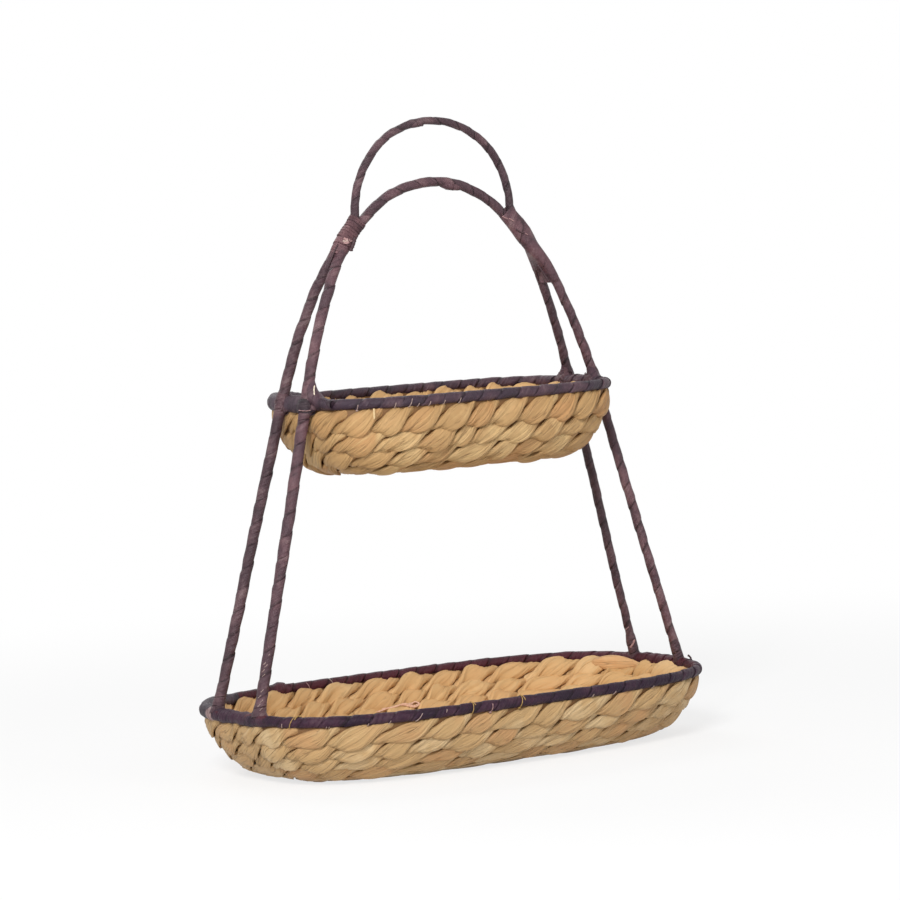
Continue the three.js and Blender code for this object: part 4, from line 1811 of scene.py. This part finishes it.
@dataclass
class Sewing:
    """The threads that are sewn over the rims, and straws that stand off the braid."""

    lines: FrameLines
    form: SewnThread

    def lower_stitches(self) -> tuple[Stitch, ...]:
        """Give the threads over the lower rim, from its left end to its right.

        Returns:
            The stitches.
        """
        return (
            Stitch(1.854, -130, -50, 0.002, FADED_FOLD),
            Stitch(1.748, -140, -40, 0.004, FADED_FOLD),
            Stitch(1.663, -120, -30, 0.004),
            Stitch(3.48, 95, 150, -0.0015),
            Stitch(3.562, -50, 160, -0.0075, GOLD_THREAD),
            Stitch(3.590, -50, 60, -0.0020, GOLD_THREAD, knot=0.1, half=0.0004),
            Stitch(3.80, 130, 165, -0.0008),
            Stitch(3.818, 130, 165, -0.0008),
            Stitch(4.06, 120, 160),
            Stitch(4.18, 110, 165, -0.0015),
            Stitch(4.329, 70, 165, -0.0055),
            Stitch(4.451, 60, 95),
            Stitch(4.557, -60, 160, -0.0035, GOLD_THREAD),
            Stitch(4.561, -30, 60, 0.0020, GOLD_THREAD),
            Stitch(4.617, 60, 168, -0.0010, FADED_FOLD, knot=0.95),
            Stitch(4.691, -60, 160, -0.0050, GOLD_THREAD, knot=0.97),
            Stitch(4.694, -30, 80, 0.0015, GOLD_THREAD),
            Stitch(4.816, 110, 155),
            Stitch(4.90, 110, 160, -0.0012),
            Stitch(5.107, 120, 165),
        )

    def upper_stitches(self) -> tuple[Stitch, ...]:
        """Give the threads over the upper rim, from its left end to its right.

        Returns:
            The stitches.
        """
        return (
            Stitch(3.80, 90, 165, -0.0014, knot=1.0),
            Stitch(4.17, 90, 165),
            Stitch(4.30, 60, 165, -0.0028),
            Stitch(4.36, 110, 165),
            Stitch(4.44, 100, 165, -0.0008),
            Stitch(4.53, 100, 160, -0.0008),
            Stitch(4.61, 90, 160),
        )

    def straw(self, oval: Oval, angles: Pair, shares: Pair, out: float, wave: float) -> Track:
        """Give the track of a loose straw on a basket's wall.

        Args:
            oval: The basket's rim.
            angles: Where it starts and ends round the basket.
            shares: Where it starts and ends down the wall.
            out: How far it lies outside the wall's middle, or inside where negative.
            wave: How far it strays, as a share of the wall.

        Returns:
            The track.
        """
        points, ways = [], []
        for t in np.linspace(0, 1, 40):
            angle = lerp(*angles, t)
            inset, depth = oval.profile(lerp(*shares, t) + wave * math.sin(9.0 * t + 60 * wave))
            points.append(oval.point(angle, inset - out, depth))
            ways.append(oval.outward(angle))
        return strung(np.array(points), np.array(ways), (0.0005,), (0.0002,))

    def bulge(self, oval: Oval, angles: Pair, depth: float, size: float) -> Track:
        """Give the track of a strand that bulges over a rim from inside, between two angles.

        Args:
            oval: The basket's rim.
            angles: Where it starts and ends.
            depth: How far it lies below the rim's line.
            size: Its radius in the middle.

        Returns:
            The track.
        """
        share = np.linspace(0, 1, 40)
        places = lerp(*angles, share)
        swell = np.sin(share * math.pi) ** 0.6 * size
        points = np.array([oval.point(a, 0.0078, depth) for a in places])
        return Track(points, np.array([-oval.outward(a) for a in places]), False, swell * 1.1, swell)

    def build(self) -> None:
        """Sew both rims and lay the straws."""
        rims = (
            ("lower", self.lines.lower, self.lower_stitches(), Slot.LOWER_BRAID),
            ("upper", self.lines.upper, self.upper_stitches(), Slot.UPPER_BRAID),
        )
        for name, oval, stitches, slot in rims:
            threads = [
                self.form.lay("thread", track, stitch.finish, seed=i * 0.7)
                for i, stitch in enumerate(stitches)
                for track in stitch.tracks(oval)
            ]
            settle(joined(f"{name}_rim_stitches", threads), slot)
        lower, upper = self.lines.lower, self.lines.upper
        inside = [
            self.straw(lower, (1.588, 1.515), (0.262, 0.268), -0.0084, 0.022),
            self.straw(lower, (1.578, 1.522), (0.240, 0.262), -0.0088, 0.016),
            self.straw(lower, (1.545, 1.508), (0.225, 0.262), -0.0082, 0.012),
        ]
        straws = [self.form.lay("straw", track, PINK_STRAW, seed=3.0 + i) for i, track in enumerate(inside)]
        settle(joined("lower_basket_loose_straws", straws), Slot.LOWER_BRAID)
        bulge = self.bulge(lower, (0.48, 0.03), 0.0045, 0.0034)
        proud = self.form.lay("lower_basket_proud_strand", bulge, PROUD_STRAW, 5.0, lay=0.2, rough=0.05)
        settle(proud, Slot.LOWER_BRAID)
        hanging = self.straw(upper, (3.995, 3.988), (-0.02, 0.075), 0.0088, 0.0)
        settle(self.form.lay("upper_basket_loose_straw", hanging, LOOSE_STRAW, seed=8.0), Slot.UPPER_BRAID)


@dataclass(frozen=True)
class Mark:
    """A fold, a fleck, a thread or a strip of painted shadow that lies on a hoop, on the side that the camera
    sees, in millimetres.

    Attributes:
        side: 1 for the right side of the stand, -1 for the left.
        is_handle: Whether it lies on the rear hoop.
        places: Heights, each with the distance beside the hoop's line towards the right.
        lift: How far it lies in front of the hoop's line.
        tilt: How much farther, for each step beside it.
        half: Half its thickness.
        finish: Its finish.
        spread: How much wider it is than thick, to each side.
    """

    side: int
    is_handle: bool
    places: tuple[Pair, ...]
    lift: float
    half: float
    finish: Finish
    spread: float = 0.0
    tilt: float = 0.0


@dataclass
class LooseEnds:
    """The small things on the tape: knots, folds and strips of painted shadow at the shoulders, threads, and
    ends of tape.

    Attributes:
        lines: The wires' middle lines.
        thread, tape: The Geometry Nodes forms of a thread and of wound tape.
        ahead, aside: The directions towards the camera and to its right.
        crown_from: The height over which a hoop's top lies.
        end: How an end of tape is wound.
    """

    lines: FrameLines
    thread: SewnThread
    tape: WoundTape
    ahead: np.ndarray
    aside: np.ndarray
    crown_from: float = 0.45
    end: Winding = Winding(lay=0.006, breadth=0.0095, thickness=0.0004, play=0.001, crumple=0.0006, steps=22)

    def track(self, mark: Mark) -> Track:
        """Give a mark's track.

        Args:
            mark: The mark.

        Returns:
            The track.
        """
        heights, besides = (ramped(column, 30) * MILLIMETRE for column in zip(*mark.places))
        points = [
            self.lines.hoop_at(float(z), mark.side, mark.is_handle)
            + self.aside * x
            + self.ahead * (mark.lift * MILLIMETRE + mark.tilt * x)
            for z, x in zip(heights, besides)
        ]
        sizes = (mark.half * MILLIMETRE,), (mark.spread * MILLIMETRE,)
        return strung(smoothed(np.array(points), 3), self.ahead, *sizes)

    def marks(self) -> dict[str, tuple[Mark, ...]]:
        """Give the marks of each place.

        Returns:
            The marks, by the name of their piece.
        """
        ring = tuple((296.2 - 0.8 * math.cos(a), 5.2 * math.sin(a)) for a in np.linspace(-1.4, 1.4, 9))
        slit_shadow = ((385.5, -2.9), (392.6, -2.5), (399.8, 0.4), (395.0, 2.4), (383.5, 5.4))
        return {
            "left_front_crossing_threads": (
                Mark(-1, False, ((315.4, 5.2), (312.2, 5.2), (305.6, 6.6)), 10.0, 0.5, BRIGHT_THREAD),
                Mark(-1, False, ring, 6.1, 0.3, FADED_FOLD),
            ),
            "left_front_leg_flecks": tuple(
                Mark(-1, False, ((z + 1.2, x + 1.1), (z - 1.2, x - 1.1)), lift, 0.22, PALE_THREAD)
                for z, x, lift in zip(
                    (105.5, 99.0, 97.2, 93.5, 90.0, 78.0, 73.5, 70.2, 66.8, 64.0),
                    (0.6, -1.8, -0.2, -1.9, -1.0, -0.4, -1.8, 0.4, -1.2, 1.0),
                    (4.3, 4.3, 4.3, 4.3, 4.4, 4.9, 5.1, 5.3, 5.5, 5.8),
                )
            ),
            "right_rear_foot_folds": (
                Mark(1, True, ((64.0, -2.6), (68.0, 1.0), (71.5, 3.0)), 4.6, 0.5, FADED_FOLD, 0.4),
                Mark(1, True, ((80.0, -3.2), (83.0, 0.8)), 4.2, 0.4, FADED_FOLD),
            ),
            "left_shoulder_folds": (
                Mark(-1, False, ((432.6, -7.4), (430.6, -5.0), (428.8, -2.0)), 6.8, 0.6, FADED_FOLD),
                Mark(-1, False, ((430.4, -4.6), (429.4, -2.2), (429.0, 0.2)), 7.2, 0.6, FADED_FOLD, 0.4),
                Mark(-1, False, ((428.4, -4.4), (427.8, -1.8), (428.4, 0.6)), 7.3, 0.6, PALE_THREAD, 0.3),
                Mark(-1, False, ((426.8, -2.8), (426.4, -0.2), (427.2, 2.0)), 7.1, 0.5, FADED_FOLD, 0.3),
                Mark(-1, False, ((429.8, 0.6), (428.0, 1.8), (428.4, 3.8)), 6.4, 0.4, FADED_FOLD),
                # Painted shadow: dark strips in the gap between the two hoops below the binding.
                Mark(-1, False, ((431.8, 3.6), (425.2, 5.8), (420.4, 6.4)), 3.0, 1.3, DARK_LEAF_AND_SHADOW, 0.4),
                Mark(-1, True, ((426.2, -0.4), (417.8, -0.4), (410.0, 0.9)), 4.9, 0.6, DARK_LEAF_AND_SHADOW),
            ),
            "right_shoulder_folds": (
                Mark(1, False, ((441.4, -3.4), (438.8, -0.6)), 5.6, 0.4, FADED_FOLD),
                Mark(1, False, ((439.6, 0.8), (436.9, 2.8)), 5.4, 0.4, FADED_FOLD),
                # Painted shadow: a dark strip along a crease of the sheath.
                Mark(1, False, ((430.2, -1.4), (427.7, 0.3), (426.8, 2.6)), 6.2, 0.7, DARK_LEAF_AND_SHADOW),
                Mark(1, False, ((426.8, 4.0), (425.0, 4.6)), 5.8, 0.3, FADED_FOLD),
                # Painted shadow: a dark strip along the slit in the sheath, and one that fills the hole
                # behind it.
                Mark(1, True, slit_shadow, 10.6, 0.7, DARK_LEAF_AND_SHADOW, 0.4, tilt=1.42),
                Mark(1, True, ((398.5, 0.4), (393.0, 0.2)), 10.6, 1.3, DARK_LEAF_AND_SHADOW, 0.4, tilt=1.42),
            ),
            "right_front_foot_tag": (
                Mark(1, False, ((61.8, 8.4), (60.4, 10.0), (57.0, 10.6)), 0.0, 0.8, DARK_LEAF_AND_SHADOW),
            ),
        }

    def crown_end(self, is_handle: bool, reach: Pair, drop: float, girths: Sequence[float]) -> Track:
        """Give the track of an end of tape under a hoop's top.

        Args:
            is_handle: Whether it is the rear hoop's.
            reach: Where it starts and ends along X.
            drop: How far it lies below the hoop's line.
            girths: Its radii, evenly apart.

        Returns:
            The track.
        """
        points = self.lines.hoop(is_handle)
        top = points[points[:, 2] > self.crown_from][::-1]
        x = np.linspace(*reach, 30)
        z = np.interp(x, top[:, 0], top[:, 2]) - drop
        return strung(np.column_stack([x, 0 * x, z]), LEVEL, girths, (0.0008,))

    def build(self) -> None:
        """Lay them all."""
        for name, marks in self.marks().items():
            laid = [self.thread.lay("mark", self.track(m), m.finish, i * 1.1) for i, m in enumerate(marks)]
            settle(joined(name, laid), Slot.LEAF)
        handle_girths = (0.0006, 0.0018, 0.0026, 0.0030)
        arch_girths = (0.0008, 0.0028, 0.0030, 0.0022, 0.0008)
        ends = (
            ("handle_tape_end", True, (-0.0243, -0.0085), 0.0014, handle_girths, HOOP_TAPE),
            ("arch_tape_end", False, (0.0085, 0.0300), 0.0024, arch_girths, FRONT_TAPE),
        )
        for name, is_handle, reach, drop, girths, finish in ends:
            track = self.crown_end(is_handle, reach, drop, girths)
            settle(self.end.wind(self.tape, name, track, finish, 1.9), Slot.LEAF)


@dataclass
class Basket:
    """A basket of twisted straw rows: up its wall, and in rings that close its base.

    Attributes:
        name: Which basket it is.
        oval: Its rim's line and its profile.
        form: The Geometry Nodes form of a strand.
        braid, base_braid: How the rows of the wall and of the base are braided.
        finish: The straw.
        slot: Its material slot.
        base_rows: How many rings the base has outside its middle.
        row_spans: The heights of the wall's rows, from the rim down, in any unit.
        row_leans: How much of the braid's lean each of them has.
        wall_rows: How many rows the CAD model has; the last one stands for the rest.
        base_pitch: The distance between the base's rings.
        seed: What sets this basket's braid apart.
    """

    name: str
    oval: Oval
    form: TwistedStrand
    braid: Braid
    base_braid: Braid
    finish: BraidFinish
    slot: Slot
    base_rows: int
    row_spans: tuple[float, ...]
    row_leans: tuple[float, ...]
    wall_rows: int = 4
    base_pitch: float = 0.0165
    seed: float = 1.0

    def wall_track(self, row: int) -> Track:
        """Give the middle line of a row of the wall.

        Args:
            row: The row's number, from the rim down.

        Returns:
            The track.
        """
        edges = np.concatenate([[0.0], np.cumsum(self.row_spans)]) / sum(self.row_spans)
        stops = (edges[row], (edges[row] + edges[row + 1]) / 2, edges[row + 1])
        shares, runs = self.oval.wall_runs()
        before, at, after = (self.oval.profile(float(np.interp(runs[-1] * t, runs, shares))) for t in stops)
        return self.oval.track(before, at, after).evened(0.002)

    def wall_row(self, row: int) -> Piece:
        """Braid a row of the wall; the lower rows are flatter and less even.

        Args:
            row: The row's number, from the rim down.

        Returns:
            The row.
        """
        height = self.oval.wall_runs()[1][-1] * self.row_spans[row] / sum(self.row_spans)
        braid = replace(
            self.braid,
            lean=self.braid.lean * self.row_leans[row],
            flatness=self.braid.flatness + 0.07 * row,
            uneven=self.braid.uneven + 0.08 * row,
            wrinkle=self.braid.wrinkle + 0.02 * row,
        )
        seed = self.seed + row * 1.37
        return braid.twist(self.form, "row", self.wall_track(row), height, self.finish, seed)

    def base_track(self, inset: float) -> Track:
        """Give the middle line of a ring of the base."""
        floor = self.oval.floor
        before, at, after = ((inset + shift, floor) for shift in (-0.002, 0.0, 0.002))
        return self.oval.track(before, at, after).evened(0.002)

    def spine_track(self, inset: float) -> Track:
        """Give the straight line in the middle of the base."""
        reach = self.oval.length / 2 - inset
        z = self.oval.height - self.oval.floor
        points = np.array([[x, 0, z] for x in np.linspace(-reach, reach, 60)])
        return strung(points, (0.0, 0.0, -1.0))

    def base_piece(self, name: str, track: Track, height: float, number: int) -> Piece:
        """Braid a piece of the base, by its number."""
        return self.base_braid.twist(self.form, name, track, height, self.finish, self.seed + number)

    def backing(self) -> Piece:
        """Make the spokes' sheet that the rows are twisted round, thin and closed.

        Returns:
            The sheet.
        """
        half = 0.0016
        shares = np.linspace(0.1, 1, 15)
        middles = [np.array([0.0008, 0.0022])] + [self.oval.profile(t) for t in shares]
        middles += [np.array([self.oval.heel + i * 0.012, self.oval.floor]) for i in (1, 2)]
        line = np.array(middles)
        along = unit(np.gradient(line, axis=0))
        out = np.column_stack([-along[:, 1], along[:, 0]])
        section = np.vstack([line + out * half, (line - out * half)[::-1]])
        angles = full_turn(144)
        points = np.array([self.oval.point(a, *pair) for a in angles for pair in section])
        corners = np.arange(len(points)).reshape(len(angles), -1)
        onward, beside = np.roll(corners, -1, axis=0), np.roll(corners, -1, axis=1)
        faces = np.stack([corners, onward, np.roll(onward, -1, axis=1), beside], axis=-1)
        mesh = bpy.data.meshes.new(f"{self.name}_basket_spokes")
        mesh.from_pydata(points.tolist(), [], faces.reshape(-1, 4).tolist())
        if signed_volume(mesh) < 0:
            mesh.flip_normals()
        mesh.shade_smooth()
        mesh.materials.append(BACKING.material())
        return placed(mesh.name, mesh)

    def build(self) -> None:
        """Braid the wall, the base and its middle."""
        rows = [self.wall_row(row) for row in range(len(self.row_spans))]
        last = self.wall_rows - 1
        for row, pieces in enumerate([[piece] for piece in rows[:last]] + [rows[last:]]):
            piece = joined(f"{self.name}_basket_row_{row + 1}", pieces)
            settle(piece, self.slot, f"{self.name}_basket_wall_row_{row + 1}")
        insets = [self.oval.heel + self.base_pitch * (row + 0.5) for row in range(self.base_rows)]
        for row, inset in enumerate(insets):
            name = f"{self.name}_basket_base_ring_{row + 1}"
            piece = self.base_piece(name, self.base_track(inset), self.base_pitch, row)
            settle(piece, self.slot, f"{self.name}_basket_base_row_{row + 1}")
        inner = self.oval.heel + self.base_pitch * (self.base_rows + 0.5)
        rest = self.oval.width / 2 - inner - self.base_pitch / 2
        ring = self.base_piece("ring", self.base_track(inner), self.base_pitch, 5)
        spine = self.base_piece("spine", self.spine_track(inner + self.base_pitch / 2), 2 * rest, 6)
        core = joined(f"{self.name}_basket_base_middle", [ring, spine])
        settle(core, self.slot, f"{self.name}_basket_base_core")
        settle(self.backing(), self.slot)


# Studio


@dataclass(frozen=True)
class PaperFinish(Finish):
    """White paper that the camera sees as white, and that keeps a soft shadow near the object."""

    name: str = "studio_paper"
    glow: float = 0.74
    near: float = 0.45
    far: float = 1.3

    def shader(self, graph: Graph) -> Sock:
        """Build the finish's nodes and give its shader.

        Args:
            graph: The material's node tree.

        Returns:
            The shader.
        """
        away = graph.vectors("LENGTH", graph.place(), output="Value")
        glow = self.glow + graph.eased(away, self.near, self.far) * (1.0 - self.glow)
        paper = graph.out("ShaderNodeBsdfDiffuse", None, {"Color": (0.93, 0.93, 0.93, 1.0)})
        white = graph.out("ShaderNodeEmission", None, {"Color": WHITE, "Strength": 1.0})
        return graph.out("ShaderNodeMixShader", None, {"Fac": seen_rays(graph) * glow, 1: paper, 2: white})


def seen_rays(graph: Graph) -> Sock:
    """Give 1 for a ray that the camera sees, straight, in gloss or through glass, and 0 for others.

    Args:
        graph: The node tree of a material or of the world.

    Returns:
        The value.
    """
    rays = graph.node("ShaderNodeLightPath")
    camera, glossy, clear = (
        Sock(graph, rays.outputs[name]) for name in ("Is Camera Ray", "Is Glossy Ray", "Is Transmission Ray")
    )
    return graph.maths("MAXIMUM", camera, graph.maths("MAXIMUM", glossy, clear))


@dataclass(frozen=True)
class Lamp:
    """A soft rectangular lamp: where it stands, how wide it is, and its power in watts."""

    name: str
    place: Spot
    size: float
    power: float


@dataclass
class Studio:
    """The floor, the lamps, the surrounding white and the camera of the photograph."""

    eye: Spot = (-1.88893, -2.69540, 0.47570)
    forward: Spot = (0.57375, 0.81622, -0.06779)
    rightward: Spot = (0.81544, -0.57702, -0.04597)
    lens: float = 160.1
    sensor: float = 36.0
    target: Spot = (0.0, 0.0, 0.25)
    surround: float = 0.38
    lamps: tuple[Lamp, ...] = (
        Lamp("key_lamp", (-2.1, -2.02, 1.85), 0.9, 97.0),
        Lamp("front_lamp", (0.9, -2.9, 1.2), 1.4, 12.0),
        Lamp("back_lamp", (0.4, 2.4, 2.2), 1.4, 20.0),
    )

    def floor(self) -> None:
        """Lay the floor."""
        mesh = bpy.data.meshes.new("studio_floor")
        reach, level = 30.0, -2e-4
        corners = [(x * reach, y * reach, level) for x, y in ((-1, -1), (1, -1), (1, 1), (-1, 1))]
        mesh.from_pydata(corners, [], [(0, 1, 2, 3)])
        mesh.materials.append(PaperFinish().material())
        placed("studio_floor", mesh)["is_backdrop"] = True

    def white(self) -> None:
        """Surround the object with white, at full strength only where it is seen."""
        world = bpy.data.worlds.new("studio_white")
        world.use_nodes = True
        bpy.context.scene.world = world
        graph = Graph(world.node_tree)
        strength = self.surround + seen_rays(graph) * (1.0 - self.surround)
        background = graph.out("ShaderNodeBackground", None, {"Color": WHITE, "Strength": strength})
        graph.node("ShaderNodeOutputWorld", None, {"Surface": background})

    def lights(self) -> None:
        """Hang the lamps."""
        for lamp in self.lamps:
            light = bpy.data.lights.new(lamp.name, "AREA")
            light.size = lamp.size
            light.energy = lamp.power
            made = placed(lamp.name, light)
            made.location = lamp.place
            aim = Vector(self.target) - Vector(lamp.place)
            made.rotation_euler = aim.to_track_quat("-Z", "Y").to_euler()

    def camera(self) -> None:
        """Place the camera where the photograph was taken."""
        lens = bpy.data.cameras.new("photograph_camera")
        lens.lens = self.lens
        lens.sensor_width = self.sensor
        lens.clip_end = 200.0
        made = placed("photograph_camera", lens)
        forward, right = Vector(self.forward).normalized(), Vector(self.rightward)
        right = (right - forward * right.dot(forward)).normalized()
        up = right.cross(forward)
        turned = Matrix((right, up, -forward)).transposed().to_4x4()
        made.matrix_world = Matrix.Translation(self.eye) @ turned
        bpy.context.scene.camera = made

    def build(self) -> None:
        """Set the studio up."""
        bpy.context.scene.view_settings.view_transform = "Standard"
        self.floor()
        self.white()
        self.lights()
        self.camera()


def main() -> None:
    """Build the stand and its studio, and measure how large it came out."""
    logging.basicConfig(level=logging.INFO, format="%(name)s: %(message)s")
    lines = FrameLines()
    tape = WoundTape()
    strand = TwistedStrand()
    thread = SewnThread()
    studio = Studio()
    studio.build()
    WireFrame(lines, tape).build()
    Shoulders(lines, tape).build()
    Ties(lines, tape).build()
    Sewing(lines, thread).build()
    LooseEnds(lines, thread, tape, -unit(np.array(studio.forward)), unit(np.array(studio.rightward))).build()
    lower = Braid(lobe=0.034, thickness=0.0138, overlap=0.0029, lean=0.18, flatness=0.52, dwell=0.48)
    upper = Braid(lobe=0.029, overlap=0.0024, lean=0.16, flatness=0.3, dwell=0.38)
    base = Braid(lobe=0.034, thickness=0.0126, wrinkle=0.14, step=0.0026, sides=15)
    baskets = (
        Basket(
            "lower", lines.lower, strand, lower, base, LOWER_STRAW, Slot.LOWER_BRAID, 3,
            row_spans=(15.8, 14.4, 13.8, 13.2, 18.0), row_leans=(1.0, 1.0, 0.8, 0.5, 0.1), seed=1.0,
        ),
        Basket(
            "upper", lines.upper, strand, upper, base, UPPER_STRAW, Slot.UPPER_BRAID, 1,
            row_spans=(17.0, 16.2, 15.6, 18.2), row_leans=(1.0, 1.0, 0.7, 0.1), seed=4.2,
        ),
    )
    for basket in baskets:
        basket.build()
    boxes = {"cad": CAD_BOX, "visual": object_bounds()}
    {name: [list(corner) for corner in box] for name, box in boxes.items()}


if __name__ == "__main__":
    main()
